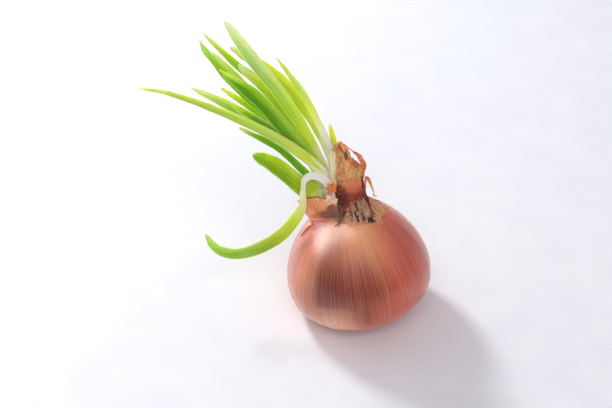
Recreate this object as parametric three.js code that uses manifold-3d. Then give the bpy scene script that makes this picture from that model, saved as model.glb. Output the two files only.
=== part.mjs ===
// A sprouted onion that rests on a small flat spot. Millimetres, +Z up.
// The origin is the middle of the flat spot. X is right, Y is back, and the leaves lean to the left.
// The bulb leans, so everything is built in the neck's own frame and then placed as one group:
// u is right, v is back and h is up the bulb's axis, and h = 0 is the foot of the neck.

import * as THREE from 'three';
import { mergeVertices } from 'three/addons/utils/BufferGeometryUtils.js';
import Module from 'manifold-3d';

const wasm = await Module();
wasm.setup();

// The bulb: a turned shape of two superellipse halves that meet at its widest circle.
const BULB_RADIUS = 36;
const CROWN_HEIGHT = 40;
const CROWN_FULLNESS = 1.71;
const FOOT_HEIGHT = 21.8;
const FOOT_FULLNESS = 2.7;
const NECK_HEIGHT = 36;
const LOBE_DEPTH = 0.18;

// How the bulb stands.
const LEAN_DEGREES = 12;
const LEAN_HEADING_DEGREES = 142;
const FLAT_DEPTH = 1.8;

// The open crown that the shoots and the dry stalk stand in.
const CROWN_CENTRE = [-2.5, 1.5];
const CROWN_RADII = [12.2, 9.4];
const CROWN_FLOOR = -4;

// The dimple in the foot, the root disc and its trimmed roots.
const DIMPLE_RADIUS = 7.5;
const DIMPLE_DEPTH = 2.6;
const ROOT_DISC_RADIUS = 5.6;
const ROOT_DISC_THICKNESS = 1.2;
const ROOT_COUNT = 18;
const ROOT_LENGTH = 3.4;
const ROOT_WIDTH = 0.9;

const SKIN_THICKNESS = 0.8;
const GAP = 0.3;
// Cut edges closer together than this are drawn as one.
const SMALLEST_STEP = 0.05;
const LEAF_SIDES = 8;
// Leaves are gently dished: this is the dish's depth as a share of the width.
const LEAF_DISH = 0.13;
// The way the leaves' broad faces look, in the neck's frame.
const LEAF_FACING = new THREE.Vector3(-0.1, -0.86, 0.5);

const degrees = (value) => (value * Math.PI) / 180;
const mix = THREE.MathUtils.lerp;
const smooth = THREE.MathUtils.smoothstep;

// A repeatable stream of numbers from 0 to 1.
function seededRandom(seed) {
  let state = seed;
  return () => {
    state = (Math.imul(state, 1664525) + 1013904223) >>> 0;
    return state / 4294967296;
  };
}

// Reads a value between the stops of a short list of [place, value] pairs.
function along(stops, place) {
  for (let i = 1; i < stops.length; i += 1) {
    if (place <= stops[i][0]) {
      const [from, low] = stops[i - 1];
      const [to, high] = stops[i];
      return mix(low, high, smooth(place, from, to));
    }
  }
  return stops[stops.length - 1][1];
}

// Solids and meshes.

function toSolid(geometry) {
  const bare = geometry.index ? geometry.toNonIndexed() : geometry.clone();
  bare.deleteAttribute('normal');
  bare.deleteAttribute('uv');
  const merged = mergeVertices(bare, 1e-4);
  const mesh = new wasm.Mesh({
    numProp: 3,
    vertProperties: new Float32Array(merged.attributes.position.array),
    triVerts: new Uint32Array(merged.index.array),
  });
  return new wasm.Manifold(mesh);
}

function toGeometry(solid) {
  const mesh = solid.getMesh();
  const geometry = new THREE.BufferGeometry();
  geometry.setAttribute('position', new THREE.BufferAttribute(new Float32Array(mesh.vertProperties), 3));
  geometry.setIndex(new THREE.BufferAttribute(new Uint32Array(mesh.triVerts), 1));
  geometry.computeVertexNormals();
  return geometry;
}

// A closed body through rings of points, each ring with the same number of points, capped at both ends.
function skinRings(rings) {
  const sides = rings[0].length;
  const positions = [];
  const quad = (a, b, c, d) => positions.push(a, b, c, a, c, d);
  for (let i = 0; i + 1 < rings.length; i += 1) {
    for (let k = 0; k < sides; k += 1) {
      const next = (k + 1) % sides;
      quad(rings[i][k], rings[i][next], rings[i + 1][next], rings[i + 1][k]);
    }
  }
  const cap = (ring, forwards) => {
    const middle = new THREE.Vector3();
    ring.forEach((point) => middle.addScaledVector(point, 1 / sides));
    for (let k = 0; k < sides; k += 1) {
      const next = (k + 1) % sides;
      if (forwards) positions.push(middle, ring[k], ring[next]);
      else positions.push(middle, ring[next], ring[k]);
    }
  };
  cap(rings[0], false);
  cap(rings[rings.length - 1], true);
  return new THREE.BufferGeometry().setFromPoints(positions);
}

// A solid swept along a smooth path through points. section(t, angle) gives the offsets across and
// through the path, and the broad side looks along facing.
function sweep({ points, rings, sides, facing, section, grow = 0 }) {
  const path = new THREE.CatmullRomCurve3(points.map((p) => new THREE.Vector3(...p)), false, 'catmullrom');
  const loops = [];
  for (let i = 0; i <= rings; i += 1) {
    const t = i / rings;
    const centre = path.getPointAt(t);
    const tangent = path.getTangentAt(t);
    const across = new THREE.Vector3().crossVectors(facing, tangent).normalize();
    const through = new THREE.Vector3().crossVectors(tangent, across).normalize();
    if (i === 0) centre.addScaledVector(tangent, -grow);
    if (i === rings) centre.addScaledVector(tangent, grow);
    const loop = [];
    for (let k = 0; k < sides; k += 1) {
      const angle = (2 * Math.PI * k) / sides;
      const [a, b] = section(t, angle);
      loop.push(centre.clone()
        .addScaledVector(across, a + grow * Math.cos(angle))
        .addScaledVector(through, b + grow * Math.sin(angle)));
    }
    loops.push(loop);
  }
  return skinRings(loops);
}

// A thin closed body about a curved surface(s, t), with s and t from 0 to 1.
function sheet({ columns, rows, surface, thickness = SKIN_THICKNESS, grow = 0 }) {
  const step = 1e-3;
  const point = (s, t) => new THREE.Vector3(...surface(s, t));
  const front = [];
  const back = [];
  for (let j = 0; j <= rows; j += 1) {
    for (let i = 0; i <= columns; i += 1) {
      const s = i / columns;
      const t = j / rows;
      const alongS = point(Math.min(s + step, 1), t).sub(point(Math.max(s - step, 0), t)).normalize();
      const alongT = point(s, Math.min(t + step, 1)).sub(point(s, Math.max(t - step, 0))).normalize();
      const normal = new THREE.Vector3().crossVectors(alongS, alongT).normalize();
      const centre = point(s, t);
      if (i === 0) centre.addScaledVector(alongS, -grow);
      if (i === columns) centre.addScaledVector(alongS, grow);
      if (j === 0) centre.addScaledVector(alongT, -grow);
      if (j === rows) centre.addScaledVector(alongT, grow);
      front.push(centre.clone().addScaledVector(normal, thickness / 2 + grow));
      back.push(centre.clone().addScaledVector(normal, -thickness / 2 - grow));
    }
  }
  const at = (i, j) => j * (columns + 1) + i;
  const positions = [];
  const quad = (a, b, c, d) => positions.push(a, b, c, a, c, d);
  for (let j = 0; j < rows; j += 1) {
    for (let i = 0; i < columns; i += 1) {
      quad(front[at(i, j)], front[at(i + 1, j)], front[at(i + 1, j + 1)], front[at(i, j + 1)]);
      quad(back[at(i, j + 1)], back[at(i + 1, j + 1)], back[at(i + 1, j)], back[at(i, j)]);
    }
  }
  for (let i = 0; i < columns; i += 1) {
    quad(back[at(i, 0)], back[at(i + 1, 0)], front[at(i + 1, 0)], front[at(i, 0)]);
    quad(front[at(i, rows)], front[at(i + 1, rows)], back[at(i + 1, rows)], back[at(i, rows)]);
  }
  for (let j = 0; j < rows; j += 1) {
    quad(front[at(0, j)], front[at(0, j + 1)], back[at(0, j + 1)], back[at(0, j)]);
    quad(back[at(columns, j)], back[at(columns, j + 1)], front[at(columns, j + 1)], front[at(columns, j)]);
  }
  return new THREE.BufferGeometry().setFromPoints(positions);
}

// The bulb's outline.

function crownHeight(radius) {
  const share = Math.min(Math.abs(radius) / BULB_RADIUS, 1);
  return CROWN_HEIGHT * (1 - share ** CROWN_FULLNESS) ** (1 / CROWN_FULLNESS) - NECK_HEIGHT;
}

function footDepth(radius) {
  const share = Math.min(Math.abs(radius) / BULB_RADIUS, 1);
  return FOOT_HEIGHT * (1 - share ** FOOT_FULLNESS) ** (1 / FOOT_FULLNESS);
}

// Broad shallow lobes, as the fleshy scales push the skin out.
function lobes(angle) {
  return LOBE_DEPTH * (Math.sin(3 * angle + 1) + 0.7 * Math.sin(5 * angle + 2) + 0.5 * Math.sin(11 * angle));
}

function bulbShape(grow) {
  const meridians = 60;
  const crownRings = 12;
  const footRings = 11;
  const rings = [];
  const addRing = (radius, height) => {
    const fade = smooth(radius, 4, BULB_RADIUS);
    const ring = [];
    for (let k = 0; k < meridians; k += 1) {
      const angle = (2 * Math.PI * k) / meridians;
      const reach = radius + grow + fade * lobes(angle);
      ring.push(new THREE.Vector3(reach * Math.cos(angle), reach * Math.sin(angle), height));
    }
    rings.push(ring);
  };
  for (let i = 1; i <= footRings; i += 1) {
    const angle = (Math.PI / 2) * (i / footRings);
    const radius = BULB_RADIUS * Math.sin(angle) ** (2 / FOOT_FULLNESS);
    const height = -FOOT_HEIGHT * Math.cos(angle) ** (2 / FOOT_FULLNESS);
    addRing(radius, height - NECK_HEIGHT - grow * Math.cos(angle));
  }
  for (let i = crownRings - 1; i >= 1; i -= 1) {
    const angle = (Math.PI / 2) * (i / crownRings);
    const radius = BULB_RADIUS * Math.sin(angle) ** (2 / CROWN_FULLNESS);
    const height = CROWN_HEIGHT * Math.cos(angle) ** (2 / CROWN_FULLNESS);
    addRing(radius, height - NECK_HEIGHT + grow * Math.cos(angle));
  }
  return toSolid(skinRings(rings));
}

// How the onion stands: the lowest point of the leaning bulb, less the flat, is the origin.

const lean = degrees(LEAN_DEGREES);
const heading = degrees(LEAN_HEADING_DEGREES);
const leanWay = new THREE.Vector3(Math.cos(heading), Math.sin(heading), 0);
const axisWay = leanWay.clone().multiplyScalar(Math.sin(lean)).setZ(Math.cos(lean));
const rightWay = new THREE.Vector3(1, 0, 0).addScaledVector(axisWay, -axisWay.x).normalize();
const backWay = new THREE.Vector3().crossVectors(axisWay, rightWay);

function neckPlace() {
  const samples = 2000;
  let lowest = Infinity;
  let sideways = 0;
  for (let i = 0; i <= samples; i += 1) {
    const radius = (BULB_RADIUS * i) / samples;
    const height = -footDepth(radius) * Math.cos(lean) - radius * Math.sin(lean);
    if (height < lowest) {
      lowest = height;
      sideways = footDepth(radius) * Math.sin(lean) - radius * Math.cos(lean);
    }
  }
  const centre = leanWay.clone().multiplyScalar(sideways).setZ(-lowest - FLAT_DEPTH);
  return centre.addScaledVector(axisWay, NECK_HEIGHT);
}

const onion = new THREE.Group();
onion.position.copy(neckPlace());
onion.quaternion.setFromRotationMatrix(new THREE.Matrix4().makeBasis(rightWay, backWay, axisWay));
onion.updateMatrixWorld(true);

// Everything below the table, in the neck's frame, lifted by raise.
function belowTable(raise) {
  const size = 400;
  const slab = new THREE.BoxGeometry(size, size, size);
  slab.translate(0, 0, raise - size / 2);
  slab.applyMatrix4(onion.matrixWorld.clone().invert());
  return toSolid(slab);
}

// An upright plug of elliptical outline.
function ellipsePlug([u, v], [radiusU, radiusV], bottom, top) {
  const plug = new THREE.CylinderGeometry(1, 1, top - bottom, 40);
  plug.rotateX(Math.PI / 2);
  plug.scale(radiusU, radiusV, 1);
  plug.translate(u, v, (top + bottom) / 2);
  return toSolid(plug);
}

function makeBulb(grow) {
  const crown = ellipsePlug(CROWN_CENTRE, CROWN_RADII.map((r) => r - grow), CROWN_FLOOR + grow, 20);
  const dimple = new THREE.SphereGeometry(1, 24, 16);
  dimple.rotateX(Math.PI / 2);
  dimple.scale(DIMPLE_RADIUS - grow, DIMPLE_RADIUS - grow, DIMPLE_DEPTH - grow);
  dimple.translate(0, 0, -NECK_HEIGHT - FOOT_HEIGHT);
  return bulbShape(grow).subtract(crown).subtract(toSolid(dimple)).subtract(belowTable(-grow));
}

// The root disc with its roots, which splay out and are trimmed clear of the table.
function makeRootPlate(grow) {
  const foot = -NECK_HEIGHT - FOOT_HEIGHT;
  const disc = new THREE.SphereGeometry(1, 20, 10);
  disc.rotateX(Math.PI / 2);
  disc.scale(ROOT_DISC_RADIUS + grow, ROOT_DISC_RADIUS + grow, ROOT_DISC_THICKNESS + grow);
  disc.translate(0, 0, foot + DIMPLE_DEPTH - ROOT_DISC_THICKNESS - GAP - 0.2);
  let roots = toSolid(disc);
  const random = seededRandom(7);
  const goldenAngle = degrees(137.5);
  for (let i = 0; i < ROOT_COUNT; i += 1) {
    const reach = ROOT_DISC_RADIUS * Math.sqrt((i + 0.5) / ROOT_COUNT) * 0.8;
    const angle = i * goldenAngle;
    const length = ROOT_LENGTH * (0.55 + 0.45 * random());
    const splay = 0.25 + 0.75 * (reach / ROOT_DISC_RADIUS);
    const out = new THREE.Vector3(Math.cos(angle), Math.sin(angle), 0);
    const start = out.clone().multiplyScalar(reach).setZ(foot + DIMPLE_DEPTH - ROOT_DISC_THICKNESS);
    const end = start.clone().addScaledVector(out, length * splay);
    end.z -= length * (1.1 - splay) + 0.4;
    const bend = start.clone().lerp(end, 0.5);
    bend.x += (random() - 0.5) * 0.8;
    bend.y += (random() - 0.5) * 0.8;
    roots = roots.add(toSolid(sweep({
      points: [start.toArray(), bend.toArray(), end.toArray()],
      rings: 2,
      sides: 4,
      facing: new THREE.Vector3(0.3, 0.2, 1),
      section: (t, turn) => {
        const half = (ROOT_WIDTH / 2) * mix(1, 0.55, t);
        return [half * Math.cos(turn), half * Math.sin(turn)];
      },
      grow,
    })));
  }
  const trim = 0.12;
  return roots.subtract(belowTable(trim - grow));
}

// The dry neck.

// The middle of the withered stalk and its half width and half thickness, by height.
const STALK_PATH = [[2, -2.5, -3.7], [2.4, -2.5, 10], [3.4, -2.4, 18], [4.5, -2.2, 25], [3.4, -2, 30], [3, -1.6, 40]];
const STALK_HALF_WIDTH = [[-3.7, 6.1], [15, 5.9], [24, 5.8], [29, 4.2], [33, 3], [40, 1.4]];
const STALK_HALF_THICKNESS = [[-3.7, 4], [12, 4], [18, 3.1], [25, 2], [33, 1.1], [40, 0.5]];

// The collar's foot is a circle on the bulb's shoulder and its top an oval round the stalk.
const COLLAR_FOOT_CENTRE = [4.2, -1];
const COLLAR_FOOT_RADIUS = 11.6;
const COLLAR_TOP = 11;
const COLLAR_TOP_CENTRE = [2.4, -2.5];
const COLLAR_TOP_RADII = [7.2, 5.2];
const COLLAR_FROM_DEGREES = -150;
const COLLAR_TO_DEGREES = 75;

function makeStalk(grow) {
  return toSolid(sweep({
    points: STALK_PATH,
    rings: 16,
    sides: 14,
    facing: new THREE.Vector3(0, -1, 0),
    section: (t, turn) => {
      const height = mix(STALK_PATH[0][2], STALK_PATH[STALK_PATH.length - 1][2], t);
      const crumple = 1 + 0.07 * Math.sin(5 * turn + 6 * t) + 0.04 * Math.sin(9 * turn - 11 * t);
      return [
        along(STALK_HALF_WIDTH, height) * crumple * Math.cos(turn),
        along(STALK_HALF_THICKNESS, height) * crumple * Math.sin(turn),
      ];
    },
    grow,
  }));
}

// A point on the neck's concave flare, lifted off it by lift. rise is 0 at the shoulder and 1 at the top.
function flarePoint(angle, rise, lift) {
  const narrowing = 1 - (1 - rise) ** 2.1;
  const radiusU = mix(COLLAR_FOOT_RADIUS, COLLAR_TOP_RADII[0], narrowing) + lift;
  const radiusV = mix(COLLAR_FOOT_RADIUS, COLLAR_TOP_RADII[1], narrowing) + lift;
  const u = mix(COLLAR_FOOT_CENTRE[0], COLLAR_TOP_CENTRE[0], narrowing) + radiusU * Math.cos(angle);
  const v = mix(COLLAR_FOOT_CENTRE[1], COLLAR_TOP_CENTRE[1], narrowing) + radiusV * Math.sin(angle);
  const footU = COLLAR_FOOT_CENTRE[0] + COLLAR_FOOT_RADIUS * Math.cos(angle);
  const footV = COLLAR_FOOT_CENTRE[1] + COLLAR_FOOT_RADIUS * Math.sin(angle);
  const shoulder = crownHeight(Math.hypot(footU, footV)) + GAP + SKIN_THICKNESS;
  return [u, v, mix(shoulder, COLLAR_TOP, rise)];
}

// A point over the bulb's shoulder, lifted off it by lift.
function onBulb(u, v, lift) {
  return [u, v, crownHeight(Math.hypot(u, v)) + lift];
}

function makeCollar(grow) {
  return toSolid(sheet({
    columns: 40,
    rows: 5,
    surface: (s, t) => {
      const angle = degrees(mix(COLLAR_FROM_DEGREES, COLLAR_TO_DEGREES, s));
      const fibres = 0.16 * Math.sin(34 * angle) * Math.sin(Math.PI * Math.min(t + 0.15, 1));
      return flarePoint(angle, t, fibres);
    },
    thickness: 0.9,
    grow,
  }));
}

// The dark band wraps the stalk's front and sides above the collar. In front a pointed flap hangs
// from it over the collar and ends in a thin thread on the bulb's shoulder.
const BAND_TOP = 19.6;
const BAND_BOTTOM = 11;
const FLAP_ANGLE_DEGREES = -107;
const FLAP_HALF_ANGLE_DEGREES = 34;
const FLAP_TIP = 4;

function makeBand(grow) {
  const from = degrees(-185);
  const to = degrees(15);
  const body = sheet({
    columns: 24,
    rows: 6,
    surface: (s, t) => {
      const angle = mix(from, to, s);
      const away = Math.abs(angle - degrees(FLAP_ANGLE_DEGREES)) / degrees(FLAP_HALF_ANGLE_DEGREES);
      const bottom = mix(FLAP_TIP, BAND_BOTTOM, smooth(away, 0, 1) ** 0.7);
      const torn = 0.5 * Math.sin(9 * angle) * (1 - t);
      const height = mix(BAND_TOP + torn, bottom, t);
      const rise = Math.min((height + 0.3) / COLLAR_TOP, 1);
      const above = smooth(height, COLLAR_TOP, BAND_TOP);
      const wrinkle = 0.12 * Math.sin(16 * t + 2 * Math.sin(3 * angle));
      const [u, v] = flarePoint(angle, rise, 1.25 + wrinkle - 0.35 * above);
      return [u + 0.9 * above, v, height];
    },
    thickness: 0.7,
    grow,
  });
  const thread = sweep({
    points: [
      flarePoint(degrees(-107), 0.52, 1.25),
      flarePoint(degrees(-110), 0.3, 1.3),
      flarePoint(degrees(-115), 0.08, 1.3),
      onBulb(-4.6, -13.9, 1),
      onBulb(-7.4, -15, 0.9),
    ],
    rings: 9,
    sides: 6,
    facing: new THREE.Vector3(-0.3, -0.8, 0.6),
    section: (t, turn) => [mix(0.9, 0.35, t) * Math.cos(turn), mix(0.5, 0.33, t) * Math.sin(turn)],
    grow,
  });
  return toSolid(body).add(toSolid(thread));
}

// Narrow torn strips of skin. Each is a flat ribbon on a path, with its width at foot, middle and tip.
const STRIPS = {
  neck_strand: {
    points: [
      [10.5, -3.4, 20.5],
      [11.4, -4.2, 15],
      flarePoint(degrees(-27), 0.85, 2.4),
      flarePoint(degrees(-33), 0.5, 1.6),
      flarePoint(degrees(-42), 0.2, 1.3),
    ],
    widths: [1.5, 1.3, 1],
    facing: [0.5, -0.85, 0.3],
  },
  stalk_strip: {
    points: [
      [11.1, -1.7, 19.5], [11.6, -1.5, 23], [11.5, -1.5, 26.5], [9.9, -1.4, 30], [7.6, -1.2, 33], [5.4, -1, 36.5],
    ],
    widths: [2.4, 3.4, 0.9],
    facing: [0.4, -0.8, 0.3],
  },
  loose_curl: {
    points: [
      [11.2, -0.6, 12.6], [11.8, -0.8, 16.6], [13, -1, 16], [13, -1.2, 11.6], [13.6, -1.3, 8], [15.6, -1.6, 5.8],
    ],
    widths: [1.6, 1.4, 1.3],
    facing: [0.2, -0.9, 0.3],
  },
};

function makeStrip({ points, widths, facing }, grow) {
  return toSolid(sweep({
    points,
    rings: 14,
    sides: 6,
    facing: new THREE.Vector3(...facing),
    section: (t, turn) => {
      const half = along([[0, widths[0]], [0.5, widths[1]], [1, widths[2]]], t) / 2;
      return [half * Math.cos(turn), 0.4 * Math.sin(turn)];
    },
    grow,
  }));
}

// The cream papery sheath left of the stalk.
function makeDrySheath(grow) {
  const middle = new THREE.CatmullRomCurve3([
    new THREE.Vector3(-4, -4.4, 14.5),
    new THREE.Vector3(-3.4, -4.1, 24),
    new THREE.Vector3(-2.7, -3.7, 29.5),
    new THREE.Vector3(-2.1, -3.4, 35),
  ]);
  return toSolid(sheet({
    columns: 6,
    rows: 7,
    surface: (s, t) => {
      const centre = middle.getPoint(t);
      const half = mix(2.2, 1.5, t);
      const side = 2 * s - 1;
      return [centre.x + half * side, centre.y + 0.9 * side * side, centre.z + 0.7 * Math.sin(7 * s) * t];
    },
    thickness: 0.7,
    grow,
  }));
}

// A small crumpled patch of torn skin with an uneven edge.
function makeScrap({ centre, width, height, crumple, tilt }, grow) {
  const up = new THREE.Vector3(0, tilt, 1).normalize();
  const across = new THREE.Vector3(1, 0.25, 0);
  const out = new THREE.Vector3().crossVectors(across, up).normalize();
  return toSolid(sheet({
    columns: 7,
    rows: 6,
    surface: (s, t) => {
      const a = (s - 0.5) * width * (0.75 + 0.25 * Math.sin(Math.PI * t + 0.4));
      const b = (t - 0.5) * height * (0.85 + 0.15 * Math.sin(7 * s));
      const c = crumple * (Math.sin(5 * s + 2) * Math.cos(4 * t) + 0.5 * Math.sin(9 * t + 3 * s));
      return new THREE.Vector3(...centre)
        .addScaledVector(across, a)
        .addScaledVector(up, b)
        .addScaledVector(out, c)
        .toArray();
    },
    thickness: 0.7,
    grow,
  }));
}

const SCRAPS = {
  orange_scrap: { centre: [-5.6, -8.6, 17.4], width: 5.4, height: 5.2, crumple: 0.5, tilt: 0.15 },
  pale_scrap: { centre: [-6.6, -10.2, 11.4], width: 5.8, height: 5.6, crumple: 0.6, tilt: 0.3 },
};

// The torn outer skin that flares to the left round the leaves. Its foot lies on the bulb's shoulder,
// and its rim runs from the collar's front up and out to the left.
const CUP_FROM_DEGREES = -108;
const CUP_TO_DEGREES = -190;
const CUP_FOOT_FROM = 10.6;
const CUP_FOOT_TO = 19.4;
const CUP_RIM = [[-4, -9.6, 8.4], [-9.8, -8, 11.6], [-16.6, -4, 11.6], [-22.6, -0.6, 8.6]];

function makeCup(grow) {
  const rim = new THREE.CatmullRomCurve3(CUP_RIM.map((p) => new THREE.Vector3(...p)));
  return toSolid(sheet({
    columns: 18,
    rows: 6,
    surface: (s, t) => {
      const angle = degrees(mix(CUP_FROM_DEGREES, CUP_TO_DEGREES, s));
      const radius = mix(CUP_FOOT_FROM, CUP_FOOT_TO, s * s);
      const foot = new THREE.Vector3(radius * Math.cos(angle), radius * Math.sin(angle), crownHeight(radius) + 0.9);
      const edge = rim.getPoint(s);
      const bulge = 1.3 * Math.sin(Math.PI * t);
      const torn = 0.55 * Math.sin(17 * s) * t * t;
      const point = foot.lerp(edge, t);
      point.x += bulge * Math.cos(angle);
      point.y += bulge * Math.sin(angle);
      point.z += torn;
      return point.toArray();
    },
    grow,
  }));
}

// A small tongue of skin lifted off the left shoulder.
function makeTongue(grow) {
  const angle = degrees(184);
  const out = new THREE.Vector3(Math.cos(angle), Math.sin(angle), 0);
  const side = new THREE.Vector3(-out.y, out.x, 0);
  return toSolid(sheet({
    columns: 4,
    rows: 4,
    surface: (s, t) => {
      const radius = 18.8 + 5.6 * t;
      const width = 6 * (1 - 0.75 * t * t);
      const lift = 0.9 + 0.9 * t;
      return out.clone().multiplyScalar(radius)
        .addScaledVector(side, (s - 0.5) * width)
        .setZ(crownHeight(radius) + lift)
        .toArray();
    },
    thickness: 0.7,
    grow,
  }));
}

// The shoots: white feet in the open crown, and the leaves.

const SHOOTS = {
  shoot_front: [[-7.5, 1, -3.7], [-7.6, 1.1, 4], [-7.8, 1.3, 12]],
  shoot_middle: [[-4.3, 6.6, -3.7], [-5, 7, 4], [-5.8, 7.6, 12]],
  shoot_back: [[-10.6, 6.9, -3.7], [-11.4, 8.3, 4], [-12, 9.8, 11]],
};
const SHOOT_RADIUS = 2.9;

function makeShoot(points, grow) {
  return toSolid(sweep({
    points,
    rings: 5,
    sides: 12,
    facing: new THREE.Vector3(0, -1, 0),
    section: (t, turn) => {
      const radius = SHOOT_RADIUS * (0.92 + 0.08 * Math.cos(2 * Math.PI * t));
      return [radius * Math.cos(turn), 0.95 * radius * Math.sin(turn)];
    },
    grow,
  }));
}

// Each leaf: its colour, its widest width, and the points that its middle passes through.
const GREEN = 0x6faa2c;
const PALE_GREEN = 0x9cc95f;
const DEEP_GREEN = 0x4f9422;
const LIME = 0xa9c93a;

const LEAVES = {
  leaf_drooping: {
    colour: PALE_GREEN,
    width: 5.4,
    points: [
      [-6.1, -4.3, -3.7], [-5, -5, 8], [-6, -5.6, 17], [-9, -6.2, 22.6], [-13.5, -6.6, 24.8], [-17.4, -6.2, 22.6],
      [-19.2, -5.2, 16], [-21.2, -4.2, 7], [-27.6, -3.4, -1.5], [-34.2, -2.4, -8], [-42.6, -1.4, -13],
      [-51.4, -0.8, -16], [-59, -0.5, -16.4], [-65.4, -0.8, -13.4], [-69, -1.2, -8.4], [-70.6, -2, -2],
    ],
  },
  leaf_long_slim: {
    colour: GREEN,
    width: 4.5,
    points: [
      [-7.2, 0.4, 6], [-7.8, -0.8, 20.8], [-18.7, 0.2, 35.3], [-33.7, 1.7, 48.8], [-53.7, 3.7, 61.8],
      [-74.2, 5.7, 72.8], [-88.7, 7.2, 77.3],
    ],
  },
  leaf_low_broad: {
    colour: GREEN,
    width: 8.5,
    points: [[-8, 1, -1.5], [-11.4, 1.8, 3.6], [-15, 2, 8], [-19.5, 1.5, 13.5], [-30, 0, 29], [-40, -0.5, 37.5]],
  },
  leaf_front_green: {
    colour: GREEN,
    width: 6.5,
    points: [[-8, 2, 6], [-8.5, 3, 22.6], [-20.8, 2.8, 44.4], [-32.4, 2.5, 64], [-47.5, 2, 82.6]],
  },
  leaf_inner_slim: {
    colour: PALE_GREEN,
    width: 4,
    points: [[-4, 5.6, 6], [-2.9, 3.4, 20], [-3, 2, 32.4], [-7, 1, 49.4], [-11.5, -0.5, 66.4], [-20, -1.5, 86]],
  },
  leaf_tallest: {
    colour: PALE_GREEN,
    width: 6.5,
    points: [
      [-5.8, 6, 6], [-7.7, 5.5, 22], [-13.7, 4.5, 43], [-21.7, 3, 65.5], [-31.7, 2, 86], [-40.2, 1, 106.5],
    ],
  },
  leaf_mid_small: {
    colour: DEEP_GREEN,
    width: 3.5,
    points: [[-9, 2.5, 3], [-12, 5, 8], [-15.5, 6.5, 13], [-19.5, 7, 20], [-29, 8.5, 34], [-45.5, 11, 47]],
  },
  leaf_mid_dark: {
    colour: DEEP_GREEN,
    width: 3.8,
    points: [[-12, 8.4, 6], [-14.7, 6, 24.7], [-22.7, 7.5, 36.2], [-36.2, 10, 49.7], [-46.7, 12, 59.2]],
  },
  leaf_bud: {
    colour: LIME,
    width: 3,
    points: [[-4.4, 7, 6], [-1.8, 6, 18], [-0.5, 5.5, 25.5], [-1, 5.5, 32], [-1.6, 5.5, 44.5]],
  },
  leaf_hooked: {
    colour: DEEP_GREEN,
    width: 6,
    points: [[-6.6, 8.2, 6], [-9.5, 8, 19], [-23.5, 10.5, 43], [-40, 13.5, 64.5], [-53, 16, 85], [-56, 17, 93]],
  },
  leaf_mid_pale: {
    colour: PALE_GREEN,
    width: 6,
    points: [[-5.8, 9, 6], [-8.8, 11, 21], [-15.8, 13, 35.6], [-27.7, 16.5, 59.8], [-40.6, 20, 75.5]],
  },
  leaf_back_lime: {
    colour: LIME,
    width: 6,
    points: [
      [-4.4, 8.8, 6], [-4.6, 11, 18], [-5.5, 12, 26], [-7.5, 13.5, 35.5], [-12.5, 16, 48.5], [-24, 19.5, 67],
      [-43.5, 24.5, 83.5],
    ],
  },
  leaf_back_low: {
    colour: PALE_GREEN,
    width: 5,
    points: [[-12.2, 9.2, 5], [-13, 10.5, 22], [-22.5, 13, 34.5], [-44, 18, 52], [-66.5, 23, 66.5]],
  },
  leaf_back_short: {
    colour: LIME,
    width: 3.6,
    points: [[-11.4, 10, 5], [-10.8, 14, 18.6], [-18.2, 16.5, 29.3], [-36.6, 22, 48.5], [-52.5, 26.5, 62.2]],
  },
  leaf_back_pale: {
    colour: PALE_GREEN,
    width: 4,
    points: [[-12.2, 10.6, 5], [-14.1, 17, 21.3], [-24.1, 21, 36.8], [-39.5, 27, 59.3], [-54.5, 32.5, 80.3]],
  },
  leaf_back_far: {
    colour: GREEN,
    width: 4,
    points: [
      [-11, 10.8, 5], [-9.6, 18.5, 19], [-17, 22.5, 33.5], [-32, 29.5, 56.5], [-44.5, 34.5, 70.5],
      [-57.5, 40, 86.5],
    ],
  },
};

// How wide and how thick a leaf is along its length, as a share of its widest width.
const LEAF_WIDTHS = [[0, 0.48], [0.18, 0.54], [0.48, 1], [0.76, 0.94], [0.92, 0.6], [1, 0.1]];
const LEAF_THICKNESSES = [[0, 0.42], [0.3, 0.34], [0.7, 0.26], [1, 0.14]];
const LEAF_THINNEST = 0.7;
const LEAF_RING_SPACING = 6;

function makeLeaf({ points, width }, grow) {
  let length = 0;
  for (let i = 1; i < points.length; i += 1) {
    length += new THREE.Vector3(...points[i]).distanceTo(new THREE.Vector3(...points[i - 1]));
  }
  return toSolid(sweep({
    points,
    rings: Math.round(length / LEAF_RING_SPACING) + 3,
    sides: LEAF_SIDES,
    facing: LEAF_FACING,
    section: (t, turn) => {
      const half = (along(LEAF_WIDTHS, t) * width) / 2;
      const thick = Math.max(along(LEAF_THICKNESSES, t) * width, LEAF_THINNEST) / 2;
      const a = half * Math.cos(turn);
      const dish = LEAF_DISH * 2 * half * Math.cos(turn) ** 2 * smooth(t, 0.1, 0.4);
      return [a, thick * Math.sin(turn) + dish];
    },
    grow,
  }));
}

// Every piece, in the order in which a later piece gives way to an earlier one.

const BULB_SKIN = 0xb4603f;
const DRY_TAN = 0xb98a5c;
const DRY_ORANGE = 0xc0622c;
const DARK_RED = 0x6e2a1c;
const CREAM = 0xd9c79a;
const ROOT_TAN = 0x9a7d55;
const SHEATH_WHITE = 0xdfe3c0;

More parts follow.
